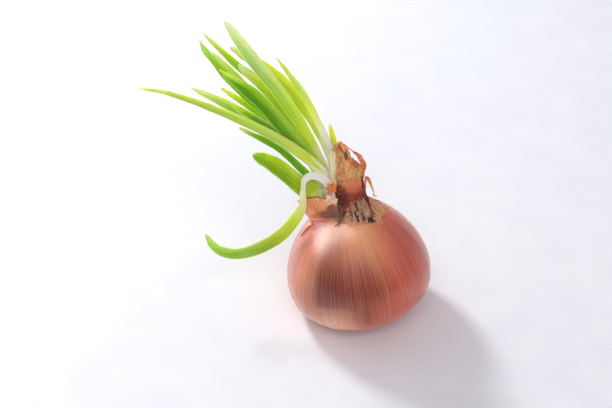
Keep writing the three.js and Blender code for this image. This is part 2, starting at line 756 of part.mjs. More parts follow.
const pieces = [
  { name: 'bulb', make: makeBulb, colour: BULB_SKIN, roughness: 0.32 },
  { name: 'root_plate', make: makeRootPlate, colour: ROOT_TAN, roughness: 0.85 },
  { name: 'neck_stalk', make: makeStalk, colour: DRY_ORANGE, roughness: 0.7 },
  { name: 'neck_collar', make: makeCollar, colour: DRY_TAN, roughness: 0.8 },
  { name: 'neck_band', make: makeBand, colour: DARK_RED, roughness: 0.4 },
  { name: 'neck_strand', make: (grow) => makeStrip(STRIPS.neck_strand, grow), colour: DARK_RED, roughness: 0.5 },
  { name: 'stalk_strip', make: (grow) => makeStrip(STRIPS.stalk_strip, grow), colour: DRY_ORANGE, roughness: 0.6 },
  { name: 'loose_curl', make: (grow) => makeStrip(STRIPS.loose_curl, grow), colour: DRY_TAN, roughness: 0.7 },
  ...Object.entries(SHOOTS).map(([name, points]) => ({
    name, make: (grow) => makeShoot(points, grow), colour: SHEATH_WHITE, roughness: 0.45,
  })),
  ...Object.entries(LEAVES).map(([name, leaf]) => ({
    name, make: (grow) => makeLeaf(leaf, grow), colour: leaf.colour, roughness: 0.45,
  })),
  { name: 'dry_sheath', make: makeDrySheath, colour: CREAM, roughness: 0.7 },
  { name: 'skin_cup', make: makeCup, colour: DRY_ORANGE, roughness: 0.55 },
  { name: 'skin_tongue', make: makeTongue, colour: BULB_SKIN, roughness: 0.5 },
  ...Object.entries(SCRAPS).map(([name, scrap]) => ({
    name, make: (grow) => makeScrap(scrap, grow), colour: DRY_ORANGE, roughness: 0.7,
  })),
];

function boxesMeet(one, other) {
  return [0, 1, 2].every((i) => one.min[i] < other.max[i] && other.min[i] < one.max[i]);
}

// The part of a solid that is left in one piece after a neighbour has taken its room.
function largestPart(solid) {
  const parts = solid.decompose();
  return parts.reduce((best, part) => (part.volume() > best.volume() ? part : best));
}

const placed = [];
for (const piece of pieces) {
  let solid = piece.make(0);
  for (const earlier of placed) {
    if (boxesMeet(solid.boundingBox(), earlier.grown.boundingBox())) {
      solid = solid.subtract(earlier.grown);
    }
  }
  solid = largestPart(solid).simplify(SMALLEST_STEP);
  placed.push({ grown: piece.make(GAP) });
  const material = new THREE.MeshStandardMaterial({
    color: piece.colour, roughness: piece.roughness, metalness: 0,
  });
  const mesh = new THREE.Mesh(toGeometry(solid), material);
  mesh.name = piece.name;
  onion.add(mesh);
}

const part = new THREE.Group();
part.add(onion);

export default part;
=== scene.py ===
import math

import bpy
import numpy as np
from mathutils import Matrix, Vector, noise


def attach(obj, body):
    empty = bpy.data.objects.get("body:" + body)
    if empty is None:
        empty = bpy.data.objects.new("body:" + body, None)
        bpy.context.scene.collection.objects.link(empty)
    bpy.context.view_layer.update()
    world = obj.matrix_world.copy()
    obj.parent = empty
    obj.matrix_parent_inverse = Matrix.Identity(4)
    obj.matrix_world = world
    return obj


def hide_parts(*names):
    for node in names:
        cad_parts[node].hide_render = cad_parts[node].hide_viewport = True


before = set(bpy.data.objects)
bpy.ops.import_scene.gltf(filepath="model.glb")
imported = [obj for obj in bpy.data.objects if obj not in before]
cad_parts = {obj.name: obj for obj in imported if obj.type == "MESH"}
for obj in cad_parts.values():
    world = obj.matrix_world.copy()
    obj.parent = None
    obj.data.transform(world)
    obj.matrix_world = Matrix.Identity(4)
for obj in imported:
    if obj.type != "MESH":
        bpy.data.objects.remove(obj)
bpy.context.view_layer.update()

# A sprouted onion on a pale table. Shapes are worked out in millimetres in the neck's own frame:
# u is right, v is back, h is up the bulb's axis and h = 0 is the foot of the neck. Then they are
# placed in the row's frame, in metres.

MM = 0.001
UP = np.array([0, 0, 1])

# The bulb: two superellipse halves that meet at its widest circle.
BULB_RADIUS = 36
CROWN_HEIGHT = 40
CROWN_FULLNESS = 1.71
FOOT_HEIGHT = 21.8
FOOT_FULLNESS = 2.7
NECK_HEIGHT = 36

# How the bulb stands.
LEAN_DEGREES = 12
LEAN_HEADING_DEGREES = 142
LEAN_SAMPLES = 2000
FLAT_DEPTH = 1.8

# The open crown and the dimple of the root disc.
CROWN_CENTRE = (-2.5, 1.5)
CROWN_RADII = (12.2, 9.4)
CROWN_FLOOR = -4
DIMPLE_RADIUS = 7.5
DIMPLE_DEPTH = 2.6
ROOT_DISC_RADIUS = 5.6
ROOT_DISC_THICKNESS = 1.2

# The photograph's view, the table and the room.
IMAGE_WIDTH = 612
IMAGE_HEIGHT = 408
CAMERA_ELEVATION_DEGREES = 38
CAMERA_LENS = 85
CAMERA_SENSOR = 36
PIXELS_PER_MM = 2.0
BULB_CENTRE_PIXEL = (358.2, 269.8)
TABLE_REACH = 6.0
TABLE_GRAIN = 40.0
LIGHT_TARGET = (0, 0, 0.04)
ROOM_FRONT = 0.13
ROOM_BACK = 0.36
ROOM_CEILING = 0.42
ROOM_TINT = (1.0, 0.955, 1.02, 1.0)


# Small helpers for numbers.

def mix(low, high, share):
    return low + (high - low) * share


def smooth(value, low, high):
    share = np.clip((value - low) / (high - low), 0, 1)
    return share * share * (3 - 2 * share)


def along(stops, place):
    """Reads a value between the stops of a short list of (place, value) pairs."""
    for (start, low), (end, high) in zip(stops, stops[1:]):
        if place <= end:
            return mix(low, high, smooth(place, start, end))
    return stops[-1][1]


def wobble(x, y=0.0, z=0.0):
    """Smooth repeatable noise from about -1 to 1."""
    return noise.noise(Vector((x, y, z)))


def unit(vector):
    return vector / max(np.linalg.norm(vector), 1e-9)


def colour(red, green, blue):
    """A colour as seen on a screen, 0 to 255, as the linear values that shaders use."""
    values = []
    for value in (red, green, blue):
        share = value / 255
        values.append(share / 12.92 if share <= 0.04045 else ((share + 0.055) / 1.055) ** 2.4)
    return (*values, 1.0)


# The neck's frame in the row's frame.

def half_height(radius, height, fullness):
    share = min(abs(radius) / BULB_RADIUS, 1)
    return height * (1 - share ** fullness) ** (1 / fullness)


def crown_height(radius):
    return half_height(radius, CROWN_HEIGHT, CROWN_FULLNESS) - NECK_HEIGHT


def level_way(degrees):
    angle = math.radians(degrees)
    return np.array([math.cos(angle), math.sin(angle), 0])


LEAN = math.radians(LEAN_DEGREES)
LEAN_WAY = level_way(LEAN_HEADING_DEGREES)
AXIS_WAY = math.sin(LEAN) * LEAN_WAY + math.cos(LEAN) * UP
RIGHT_WAY = unit(np.array([1, 0, 0]) - AXIS_WAY[0] * AXIS_WAY)
BACK_WAY = np.cross(AXIS_WAY, RIGHT_WAY)


def bulb_centre():
    """The middle of the widest circle, when the lowest point less the flat is at the origin."""
    lowest = math.inf
    sideways = 0
    for i in range(LEAN_SAMPLES + 1):
        radius = BULB_RADIUS * i / LEAN_SAMPLES
        depth = half_height(radius, FOOT_HEIGHT, FOOT_FULLNESS)
        height = -depth * math.cos(LEAN) - radius * math.sin(LEAN)
        if height < lowest:
            lowest = height
            sideways = depth * math.sin(LEAN) - radius * math.cos(LEAN)
    return LEAN_WAY * sideways + (-lowest - FLAT_DEPTH) * UP


BULB_CENTRE = bulb_centre()
NECK = BULB_CENTRE + NECK_HEIGHT * AXIS_WAY
TO_ROW = np.stack([RIGHT_WAY, BACK_WAY, AXIS_WAY])
ROW_UP = UP @ np.linalg.inv(TO_ROW)
FOOT_LEVEL = -NECK_HEIGHT - FOOT_HEIGHT


def to_row(points):
    """Neck frame in millimetres to the row's frame in metres."""
    return (np.asarray(points) @ TO_ROW + NECK) * MM


# Meshes.

# How thick the loose skins are, and how thick their edges are as a share of that.
SKIN = 0.3
PAPER = 0.35
THIN_EDGE = 0.2
PAPER_EDGE = 0.25
PATH_STEPS = 60


def add_object(name, data):
    added = bpy.data.objects.new(name, data)
    bpy.context.scene.collection.objects.link(added)
    return added


def build_piece(name, node, shape, material):
    """Makes the piece that stands for a node. shape is points in the neck's frame, faces, and
    attributes that map a name to a vector a point."""
    points, faces, attributes = shape
    mesh = bpy.data.meshes.new(name)
    mesh.from_pydata([tuple(p) for p in to_row(points)], [], faces)
    mesh.validate()
    mesh.shade_smooth()
    for label, values in attributes.items():
        layer = mesh.attributes.new(label, "FLOAT_VECTOR", "POINT")
        layer.data.foreach_set("vector", np.asarray(values, np.float32).ravel())
    mesh.materials.append(material)
    piece = add_object(name, mesh)
    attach(piece, "root")
    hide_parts(node)


def ring_faces(rings, sides):
    """Quads round a stack of closed rings of points, and a fan at both ends."""
    faces = []
    for i in range(rings - 1):
        for k in range(sides):
            a = i * sides + k
            b = i * sides + (k + 1) % sides
            faces.append((a, b, b + sides, a + sides))
    bottom = rings * sides
    last = bottom - sides
    for k in range(sides):
        next_k = (k + 1) % sides
        faces.append((bottom, next_k, k))
        faces.append((bottom + 1, last + k, last + next_k))
    return faces


def with_ends(points):
    """The points as an array, with one more beyond each end."""
    knots = np.array(points, float)
    return np.vstack([2 * knots[0] - knots[1], knots, 2 * knots[-1] - knots[-2]])


def between(knots, t):
    """A place on the Catmull-Rom curve between the middle two of four knots."""
    p0, p1, p2, p3 = knots
    return 0.5 * (2 * p1 + (p2 - p0) * t + (2 * p0 - 5 * p1 + 4 * p2 - p3) * t * t
                  + (3 * p1 - p0 - 3 * p2 + p3) * t ** 3)


def smooth_path(points, samples):
    """Evenly spaced places and directions on a Catmull-Rom curve through the points."""
    knots = with_ends(points)
    dense = []
    for i in range(1, len(knots) - 2):
        for t in np.linspace(0, 1, PATH_STEPS, endpoint=(i == len(knots) - 3)):
            dense.append(between(knots[i - 1:i + 3], t))
    dense = np.array(dense)
    reach = np.concatenate([[0], np.cumsum(np.linalg.norm(np.diff(dense, axis=0), axis=1))])
    wanted = np.linspace(0, reach[-1], samples)
    places = np.stack([np.interp(wanted, reach, dense[:, k]) for k in range(3)], axis=1)
    ways = np.gradient(places, axis=0)
    return places, ways / np.linalg.norm(ways, axis=1)[:, None]


def sweep(points, rings, sides, facing, section):
    """A closed body along a path. section(t, angle) gives the offsets across and through it."""
    places, ways = smooth_path(points, rings)
    facing = np.array(facing, float)
    out = []
    place_values = []
    for i in range(rings):
        t = i / (rings - 1)
        across = unit(np.cross(facing, ways[i]))
        through = unit(np.cross(ways[i], across))
        for k in range(sides):
            angle = 2 * math.pi * k / sides
            a, b = section(t, angle)
            out.append(places[i] + across * a + through * b)
            place_values.append((math.cos(angle), t, math.sin(angle)))
    out.append(places[0])
    place_values.append((0, 0, 0))
    out.append(places[-1])
    place_values.append((0, 1, 0))
    return np.array(out), ring_faces(rings, sides), {"place": place_values}


def sheet(surface, columns, rows, thickness, edge, label=lambda s, t: (s, t)):
    """A thin closed body about surface(s, t), thinner towards its edges. label(s, t) is what its
    material knows a place by."""
    grid = np.array([[surface(i / columns, j / rows) for i in range(columns + 1)]
                     for j in range(rows + 1)])
    along_s = np.gradient(grid, axis=1)
    along_t = np.gradient(grid, axis=0)
    normal = np.cross(along_s, along_t)
    normal /= np.linalg.norm(normal, axis=2)[:, :, None] + 1e-9
    s = np.linspace(0, 1, columns + 1)[None, :]
    t = np.linspace(0, 1, rows + 1)[:, None]
    border = np.minimum(np.minimum(s, 1 - s) * columns, np.minimum(t, 1 - t) * rows)
    half = thickness / 2 * mix(edge, 1, np.clip(border / 3, 0, 1))[:, :, None]
    front = (grid + normal * half).reshape(-1, 3)
    back = (grid - normal * half).reshape(-1, 3)
    width = columns + 1
    count = width * (rows + 1)
    faces = []
    for j in range(rows):
        for i in range(columns):
            a = j * width + i
            faces.append((a, a + 1, a + 1 + width, a + width))
            faces.append((count + a + width, count + a + 1 + width, count + a + 1, count + a))
    for i in range(columns):
        top = rows * width + i
        faces.append((count + i, count + i + 1, i + 1, i))
        faces.append((top, top + 1, count + top + 1, count + top))
    for j in range(rows):
        left = j * width
        right = left + columns
        faces.append((left, left + width, count + left + width, count + left))
        faces.append((count + right, count + right + width, right + width, right))
    places = [(*label(i / columns, j / rows), 0)
              for j in range(rows + 1) for i in range(columns + 1)]
    places += [(a, b, 1) for a, b, _ in places]
    return np.vstack([front, back]), faces, {"place": places}


def toned(shape, tone):
    """The same shape with a tone: 0 is the material's own shade and 1 is its dark one."""
    points, faces, attributes = shape
    return points, faces, {**attributes, "tone": [(tone, 0, 0)] * len(points)}


def join_shapes(shapes):
    """Several (points, faces, attributes) shapes as one."""
    points = []
    faces = []
    attributes = {}
    start = 0
    for shape_points, shape_faces, shape_attributes in shapes:
        points.append(shape_points)
        faces += [tuple(start + i for i in face) for face in shape_faces]
        for label, values in shape_attributes.items():
            attributes.setdefault(label, []).extend(values)
        start += len(shape_points)
    return np.vstack(points), faces, attributes


# Materials.

# The colour sockets of a mix node.
MIX_FIRST = 6
MIX_SECOND = 7
MIX_RESULT = 2


class Shading:
    """Short calls for the nodes of a material or a world."""

    def __init__(self, owner):
        owner.use_nodes = True
        self.tree = owner.node_tree

    def node(self, kind, inputs=(), **settings):
        made = self.tree.nodes.new(kind)
        for label, value in settings.items():
            setattr(made, label, value)
        for key, value in dict(inputs).items():
            self.set(made.inputs[key], value)
        return made

    def set(self, socket, value):
        if isinstance(value, bpy.types.NodeSocket):
            self.tree.links.new(value, socket)
        else:
            socket.default_value = value

    def attribute(self, name):
        return self.node("ShaderNodeAttribute", attribute_name=name).outputs["Vector"]

    def split(self, vector):
        return self.node("ShaderNodeSeparateXYZ", {0: vector}).outputs

    def stretch(self, vector, scale):
        return self.node("ShaderNodeMapping", {"Vector": vector, "Scale": scale}).outputs[0]

    def noise(self, vector, scale, detail=3.0, roughness=0.5, distortion=0.0):
        """Noise at one scale, or at three scales along the vector's parts."""
        if isinstance(scale, tuple):
            vector, scale = self.stretch(vector, scale), 1.0
        inputs = {"Vector": vector, "Scale": scale, "Detail": detail, "Roughness": roughness,
                  "Distortion": distortion}
        return self.node("ShaderNodeTexNoise", inputs).outputs["Fac"]

    def math(self, operation, first, second=0.0):
        return self.node("ShaderNodeMath", {0: first, 1: second}, operation=operation).outputs[0]

    def plus(self, first, second):
        return self.math("ADD", first, second)

    def times(self, first, second):
        return self.math("MULTIPLY", first, second)

    def gap(self, first, second):
        made = self.node("ShaderNodeVectorMath", {0: first, 1: second}, operation="DISTANCE")
        return made.outputs["Value"]

    def position(self):
        return self.node("ShaderNodeNewGeometry").outputs["Position"]

    def ranged(self, value, low, high, out_low=0.0, out_high=1.0):
        """A value between low and high, moved smoothly to between out_low and out_high."""
        inputs = {"Value": value, "From Min": low, "From Max": high, "To Min": out_low,
                  "To Max": out_high}
        return self.node("ShaderNodeMapRange", inputs, interpolation_type="SMOOTHSTEP").outputs[0]

    def ramp(self, value, stops):
        """The shade at a value, from (place, screen colour) stops."""
        made = self.node("ShaderNodeValToRGB", {0: value})
        elements = made.color_ramp.elements
        while len(elements) < len(stops):
            elements.new(0.5)
        for element, (place, shade) in zip(elements, stops):
            element.position = place
            element.color = colour(*shade)
        return made.outputs[0]

    def blend(self, share, base, shade):
        """A share of another shade over the base. The shade is a socket or a screen colour."""
        made = self.node("ShaderNodeMix", data_type="RGBA")
        over = colour(*shade) if isinstance(shade, tuple) else shade
        self.set(made.inputs["Factor"], share)
        self.set(made.inputs[MIX_FIRST], base)
        self.set(made.inputs[MIX_SECOND], over)
        return made.outputs[MIX_RESULT]

    def over(self, base, shade, value, low, high, share):
        """A shade over the base, from none of it at low to a share of it at high."""
        return self.blend(self.ranged(value, low, high, 0.0, share), base, shade)

    def near(self, vector, spot, inner, outer, ragged=0.0):
        """1 at a spot of an attribute's space, falling to 0 at the distance outer. ragged is added to
        the distance."""
        return self.ranged(self.plus(self.gap(vector, spot), ragged), inner, outer, 1.0, 0.0)


class Finish(Shading):
    """One material with a Principled shader."""

    def __init__(self, name, roughness, **shader_values):
        self.material = bpy.data.materials.new(name)
        super().__init__(self.material)
        self.shader = self.tree.nodes["Principled BSDF"]
        self.shader.inputs["Roughness"].default_value = roughness
        for label, value in shader_values.items():
            self.shader.inputs[label.replace("_", " ")].default_value = value

    def finish(self, base, bump, bump_depth, coat_depth=0.0):
        self.set(self.shader.inputs["Base Color"], base)
        for label, depth in (("Normal", bump_depth), ("Coat Normal", coat_depth)):
            if depth:
                inputs = {"Height": bump, "Distance": depth * MM, "Strength": 1.0}
                self.set(self.shader.inputs[label], self.node("ShaderNodeBump", inputs).outputs[0])
        return self.material


# The bulb.

VEIN_COUNT = 150
BULB_MERIDIANS = 320
BULB_FOOT_RINGS = 56
BULB_CROWN_RINGS = 84

# Broad patches of the skin: where (across, back, twice the rise), how far each reaches, how strong it
# is and its shade. Some are painted light, shade and reflection, as marked.
BULB_ZONES = [
    ((0.80, -0.55, 1.20), 1.00, 0.8, (196, 70, 60)),
    # Painted reflection of the bright table and room, on the lower left.
    ((-0.85, -0.50, 0.50), 0.70, 0.5, (240, 186, 156)),
    # Painted highlight: the window's reflection widened to the right.
    ((-0.45, -0.89, 1.60), 0.42, 0.7, (242, 158, 116)),
    ((0.05, -1.00, 1.50), 0.40, 0.7, (238, 128, 88)),
    # Painted light on the top front, under the neck.
    ((0.25, -0.97, 1.80), 0.92, 0.95, (255, 184, 124)),
    ((-0.74, -0.66, 1.15), 0.36, 0.7, (244, 144, 88)),
    # Painted shade and dark reflection on the lower front, over darker maroon skin.
    ((-0.42, -0.90, 1.02), 0.72, 1.0, (112, 34, 18)),
    ((-0.10, -0.99, 0.96), 0.48, 0.85, (112, 34, 22)),
    ((0.20, -0.98, 0.90), 0.50, 0.85, (132, 38, 20)),
    ((0.16, -0.98, 1.12), 0.40, 0.6, (140, 48, 36)),
    # Painted light bounced up from the table onto the bottom left.
    ((-0.30, -0.95, 0.56), 0.40, 0.8, (250, 188, 152)),
    ((-0.50, -0.86, 0.50), 0.42, 0.85, (252, 202, 172)),
    ((0.35, -0.94, 0.62), 0.36, 0.4, (226, 110, 76)),
]

# The middle of the painted shade on the bulb's lower front, where the light veins are faint.
PAINTED_SHADE_SPOT = (-0.10, -0.98, 0.98)

LOBE_DEPTH = 0.06
RIB_DEPTHS = (0.04, 0.03)
DENT_DEPTH = 0.1


def lobes(angle):
    """How far the bulb's slow swells stand out, round its axis."""
    return LOBE_DEPTH * (math.sin(3 * angle + 1) + 0.7 * math.sin(5 * angle + 2)
                         + 0.5 * math.sin(11 * angle))


def bulb_mesh():
    """The bulb's closed skin, with fine ribs, the sunk crown, the dimple and the flat spot."""
    def ring_at(angle, height, fullness):
        return (BULB_RADIUS * math.sin(angle) ** (2 / fullness),
                height * math.cos(angle) ** (2 / fullness) - NECK_HEIGHT)

    outline = [ring_at(math.pi / 2 * i / BULB_FOOT_RINGS, -FOOT_HEIGHT, FOOT_FULLNESS)
               for i in range(1, BULB_FOOT_RINGS + 1)]
    outline += [ring_at(math.pi / 2 * i / BULB_CROWN_RINGS, CROWN_HEIGHT, CROWN_FULLNESS)
                for i in range(BULB_CROWN_RINGS - 1, 0, -1)]
    points = []
    streaks = []
    for ring, (radius, height) in enumerate(outline):
        rise = ring / (len(outline) - 1)
        fade = smooth(radius, 4, BULB_RADIUS)
        for k in range(BULB_MERIDIANS):
            angle = 2 * math.pi * k / BULB_MERIDIANS
            across, back = math.cos(angle), math.sin(angle)
            ribs = RIB_DEPTHS[0] * wobble(14 * across, 14 * back, 1.2 * rise)
            ribs += RIB_DEPTHS[1] * wobble(30 * across, 30 * back, 2 * rise + 7)
            dent = DENT_DEPTH * wobble(1.7 * across + 3, 1.7 * back, 2.2 * rise)
            reach = radius + fade * (lobes(angle) + ribs + dent)
            points.append([reach * across, reach * back, height])
            streaks.append((across, back, rise))
    points.append([0, 0, outline[0][1]])
    streaks.append((0, 0, 0))
    points.append([0, 0, outline[-1][1]])
    streaks.append((0, 0, 1))
    points = np.array(points)

    crown = np.hypot((points[:, 0] - CROWN_CENTRE[0]) / CROWN_RADII[0],
                     (points[:, 1] - CROWN_CENTRE[1]) / CROWN_RADII[1])
    sunk = (1 - smooth(crown, 0.93, 1.01)) * (points[:, 2] > CROWN_FLOOR)
    points[:, 2] = mix(points[:, 2], CROWN_FLOOR + 0 * sunk, sunk)

    from_axis = np.hypot(points[:, 0], points[:, 1])
    hollow = DIMPLE_DEPTH * np.sqrt(np.clip(1 - (from_axis / DIMPLE_RADIUS) ** 2, 0, 1))
    points[:, 2] += np.where(points[:, 2] < FOOT_LEVEL + 3, hollow, 0)

    row = to_row(points)
    low = row[:, 2] < 0
    drop = -row[low, 2] / MM
    points[low] += drop[:, None] * ROW_UP
    faces = ring_faces(len(outline), BULB_MERIDIANS)
    return points, faces, {"streak": streaks}


def bulb_finish():
    """Glossy coppery skin: fine meridional veins over broad rose, orange and maroon zones. The maroon
    on the lower front is painted shade and dark reflection over darker skin; zones on the top, left and
    bottom add painted light and reflection.
    """
    skin = Finish("bulb_skin", 0.42, Coat_Weight=0.8, Coat_Roughness=0.2, Specular_IOR_Level=0.3)
    streak = skin.attribute("streak")
    doubled = skin.stretch(streak, (1, 1, 2))
    across, back, rise = skin.split(streak)
    turn = skin.math("ARCTAN2", back, across)
    broad = skin.noise(streak, (2.2, 2.2, 1.4), 3)
    wide = skin.noise(streak, (11, 11, 0.8), 3)
    veins = skin.noise(streak, (44, 44, 2.6), 3, 0.55)
    hairs = skin.noise(streak, (110, 110, 2.0), 2, 0.6)
    flecks = skin.noise(streak, (60, 60, 22), 2, 0.6)
    drift = skin.times(skin.math("SUBTRACT", wide, 0.5), 14.0)
    lines = skin.math("SINE", skin.plus(skin.times(turn, VEIN_COUNT), drift))
    base = skin.ramp(broad, [(0.34, (214, 104, 64)), (0.45, (222, 116, 72)), (0.56, (212, 100, 70)),
                             (0.68, (230, 134, 84))])
    ragged = skin.ranged(veins, 0.3, 0.7, -0.035, 0.035)
    for spot, reach, share, shade in BULB_ZONES:
        near = skin.near(doubled, spot, 0, reach, ragged)
        base = skin.blend(skin.times(near, share), base, shade)
    base = skin.over(base, (236, 164, 128), wide, 0.42, 0.64, 0.1)
    patchy = skin.ranged(skin.noise(streak, (7, 7, 5), 3), 0.4, 0.62, 0.25, 1.0)
    base = skin.over(base, (244, 186, 154), lines, 0.2, 1.0, 0.08)
    base = skin.over(base, (130, 50, 34), lines, -0.3, -1.0, 0.08)
    calm = skin.ranged(skin.near(doubled, PAINTED_SHADE_SPOT, 0.1, 0.75), 0.0, 1.0, 1.0, 0.35)
    light = skin.times(skin.ranged(veins, 0.53, 0.7, 0.0, 0.38), skin.times(patchy, calm))
    base = skin.blend(light, base, (238, 162, 128))
    deep = skin.times(skin.ranged(veins, 0.47, 0.33, 0.0, 0.34), patchy)
    base = skin.blend(deep, base, (128, 46, 30))
    base = skin.over(base, (240, 172, 138), hairs, 0.5, 0.7, 0.18)
    base = skin.over(base, (120, 48, 34), flecks, 0.64, 0.74, 0.25)
    base = skin.over(base, (196, 128, 92), rise, 0.3, 0.0, 0.55)
    ripe = skin.plus(rise, skin.times(veins, 0.12))
    base = skin.over(base, (234, 160, 108), ripe, 0.87, 0.99, 0.85)
    grain = skin.plus(skin.times(lines, 0.25), skin.plus(veins, hairs))
    return skin.finish(base, grain, 0.09, 0.045)


# The root disc and its trimmed roots.

ROOT_COUNT = 40
ROOT_LENGTH = 3.4
ROOT_WIDTH = 0.7
ROOT_TRIM = 0.12
ROOT_GRAIN = 900.0
ROOT_SEED = 7
GOLDEN_ANGLE = math.radians(137.5)


def root_mesh():
    """The root disc and the trimmed roots that splay from it."""
    def section(t, turn):
        half = ROOT_WIDTH / 2 * mix(1, 0.5, t)
        return half * math.cos(turn), half * math.sin(turn)

    middle = FOOT_LEVEL + DIMPLE_DEPTH - ROOT_DISC_THICKNESS - 0.5
    rings, sides = 16, 40
    disc = []
    for i in range(1, rings):
        angle = math.pi * i / rings
        for k in range(sides):
            turn = 2 * math.pi * k / sides
            uneven = 1 + 0.08 * wobble(2 * math.cos(turn), 2 * math.sin(turn), i)
            reach = ROOT_DISC_RADIUS * math.sin(angle) * uneven
            disc.append((reach * math.cos(turn), reach * math.sin(turn),
                         middle - ROOT_DISC_THICKNESS * math.cos(angle)))
    disc.append((0, 0, middle - ROOT_DISC_THICKNESS))
    disc.append((0, 0, middle + ROOT_DISC_THICKNESS))
    shapes = [(np.array(disc), ring_faces(rings - 1, sides), {"place": [(0, 0, 0)] * len(disc)})]
    random = np.random.default_rng(ROOT_SEED)
    for i in range(ROOT_COUNT):
        reach = ROOT_DISC_RADIUS * math.sqrt((i + 0.5) / ROOT_COUNT) * 0.8
        turn = i * GOLDEN_ANGLE
        length = ROOT_LENGTH * (0.55 + 0.45 * random.random())
        splay = 0.25 + 0.75 * reach / ROOT_DISC_RADIUS
        out = np.array([math.cos(turn), math.sin(turn), 0])
        start = out * reach + np.array([0, 0, middle])
        end = start + out * length * splay - np.array([0, 0, length * (1.1 - splay) + 0.4])
        bend = (start + end) / 2 + np.array([*(random.random(2) - 0.5) * 0.8, 0])
        shapes.append(sweep([start, bend, end], 7, 8, (0.3, 0.2, 1), section))
    points, faces, attributes = join_shapes(shapes)
    low = np.maximum(ROOT_TRIM - to_row(points)[:, 2] / MM, 0)
    points = points + low[:, None] * ROW_UP
    return points, faces, attributes


def root_finish():
    root = Finish("dry_root", 0.85)
    position = root.position()
    grain = root.noise(position, ROOT_GRAIN, 4)
    base = root.ramp(grain, [(0.3, (112, 84, 54)), (0.5, (164, 132, 92)), (0.7, (198, 172, 130))])
    return root.finish(base, grain, 0.25)


# The dry neck.

# The withered stalk's middle, half width and half thickness at each height.
STALK_BOTTOM = -3.7
STALK_TOP = 38.2
STALK_MIDDLE_U = [
    (STALK_BOTTOM, 2), (10, 2.5), (18, 3.4), (22.9, 3.6), (25.6, 2.8), (28.5, 2.2), (32.5, 2.4),
    (STALK_TOP, 1.9),
]
STALK_MIDDLE_V = [(STALK_BOTTOM, -2.5), (20, -2.4), (STALK_TOP, -1.8)]
STALK_HALF_WIDTH = [
    (STALK_BOTTOM, 6.0), (16, 5.8), (20.5, 6.0), (23, 5.9), (25.6, 4.5), (28.5, 3.5), (32.5, 2.9),
    (35.5, 2.2), (STALK_TOP, 0.9),
]
STALK_HALF_THICKNESS = [(STALK_BOTTOM, 4), (14, 3.9), (20, 3.4), (26, 2.6), (33, 1.5), (STALK_TOP, 0.6)]

COLLAR_FOOT_CENTRE = (4.2, -1)
COLLAR_FOOT_RADIUS = 11.6
COLLAR_TOP = 11
COLLAR_TOP_CENTRE = (2.9, -2.5)
COLLAR_TOP_RADII = (6.2, 4.9)
COLLAR_FROM_DEGREES = -150
COLLAR_TO_DEGREES = 75


def flare_point(degrees, rise, lift):
    """A point on the neck's concave flare. rise is 1 at its top, 0 at the shoulder, and less out on
    the bulb."""
    angle = math.radians(degrees)
    out = np.array([math.cos(angle), math.sin(angle)])
    foot = np.array(COLLAR_FOOT_CENTRE) + COLLAR_FOOT_RADIUS * (1 + max(-rise, 0)) * out
    shoulder = crown_height(math.hypot(*foot))
    if rise <= 0:
        return np.array([*foot, shoulder + lift])
    narrowing = 1 - (1 - rise) ** 2.1
    radii = mix(COLLAR_FOOT_RADIUS, np.array(COLLAR_TOP_RADII), narrowing)
    middle = mix(np.array(COLLAR_FOOT_CENTRE), np.array(COLLAR_TOP_CENTRE), narrowing)
    spread = lift * smooth(rise, 0, 0.3)
    height = mix(shoulder, COLLAR_TOP, rise) + mix(lift, 0, smooth(rise, 0, 0.3))
    return np.array([*(middle + (radii + spread) * out), height])


def stalk_crumple(turn, height):
    """How far the stalk's skin stands out of or sinks into its plain oval there."""
    across, back = math.cos(turn), math.sin(turn)
    folds = 0.55 * wobble(2.3 * across + 5, 2.3 * back, 0.13 * height)
    ridge = 1 - 2.4 * abs(wobble(4.6 * across, 4.6 * back + 3, 0.2 * height))
    creases = 1 - 2.4 * abs(wobble(9 * across + 2, 9 * back, 0.5 * height))
    fine = wobble(18 * across, 18 * back, 0.9 * height)
    calm = mix(0.45, 1, smooth(height, 17, 22))
    return calm * (folds + 0.45 * max(ridge, 0) ** 2 + 0.28 * max(creases, 0) ** 2 + 0.08 * fine)


def stalk_point(turn, height, lift):
    crumple = stalk_crumple(turn, height) * smooth(STALK_TOP - height, 0, 5)
    width = along(STALK_HALF_WIDTH, height) + lift + crumple
    depth = along(STALK_HALF_THICKNESS, height) + lift + crumple
    middle = np.array([along(STALK_MIDDLE_U, height), along(STALK_MIDDLE_V, height)])
    return np.array([middle[0] + width * math.cos(turn), middle[1] + depth * math.sin(turn), height])


STALK_RINGS = 150
STALK_SIDES = 110

# The holes in the stalk's front, sunk and darkened with painted shade, how far they reach, and the
# tear that runs down from the upper.
STALK_HOLE = (3.9, 31.0)
STALK_HOLE_REACH = (1.0, 3.0)
STALK_LOWER_HOLE = (2.4, 23.5)
STALK_LOWER_REACH = (1.5, 1.3)
TEAR_SLOPE = 0.5
TEAR_BOTTOM = 25.5
PIT_DEPTH = 0.9

# The loose flakes of the stalk: the way they face in degrees, lowest and highest places, width in
# degrees, how far their tips curl out, and their tone.
STALK_FLAKES = [
    (-150, 19, 37, 60, 0.5, 0.1), (-118, 22, 38.6, 44, 0.9, 0.35), (-96, 18, 30, 52, 0.5, 0.0),
    (-62, 17.5, 25, 60, 0.6, 0.1), (-40, 18, 24.5, 50, 1.0, 0.25),
    (-128, 16.5, 26, 46, 0.5, 0.3), (-20, 21, 29, 46, 0.8, 0.5), (-176, 24, 37, 50, 0.6, 0.3),
    (60, 18, 34, 60, 0.7, 0.3), (110, 17, 30, 60, 0.8, 0.1), (150, 20, 37, 50, 0.7, 0.4),
    (20, 17, 26, 50, 0.9, 0.3),
]


def shares_off(place, spot, reach):
    """How far a place is from a spot, as shares of the spot's reach."""
    return math.hypot((place[0] - spot[0]) / reach[0], (place[1] - spot[1]) / reach[1])


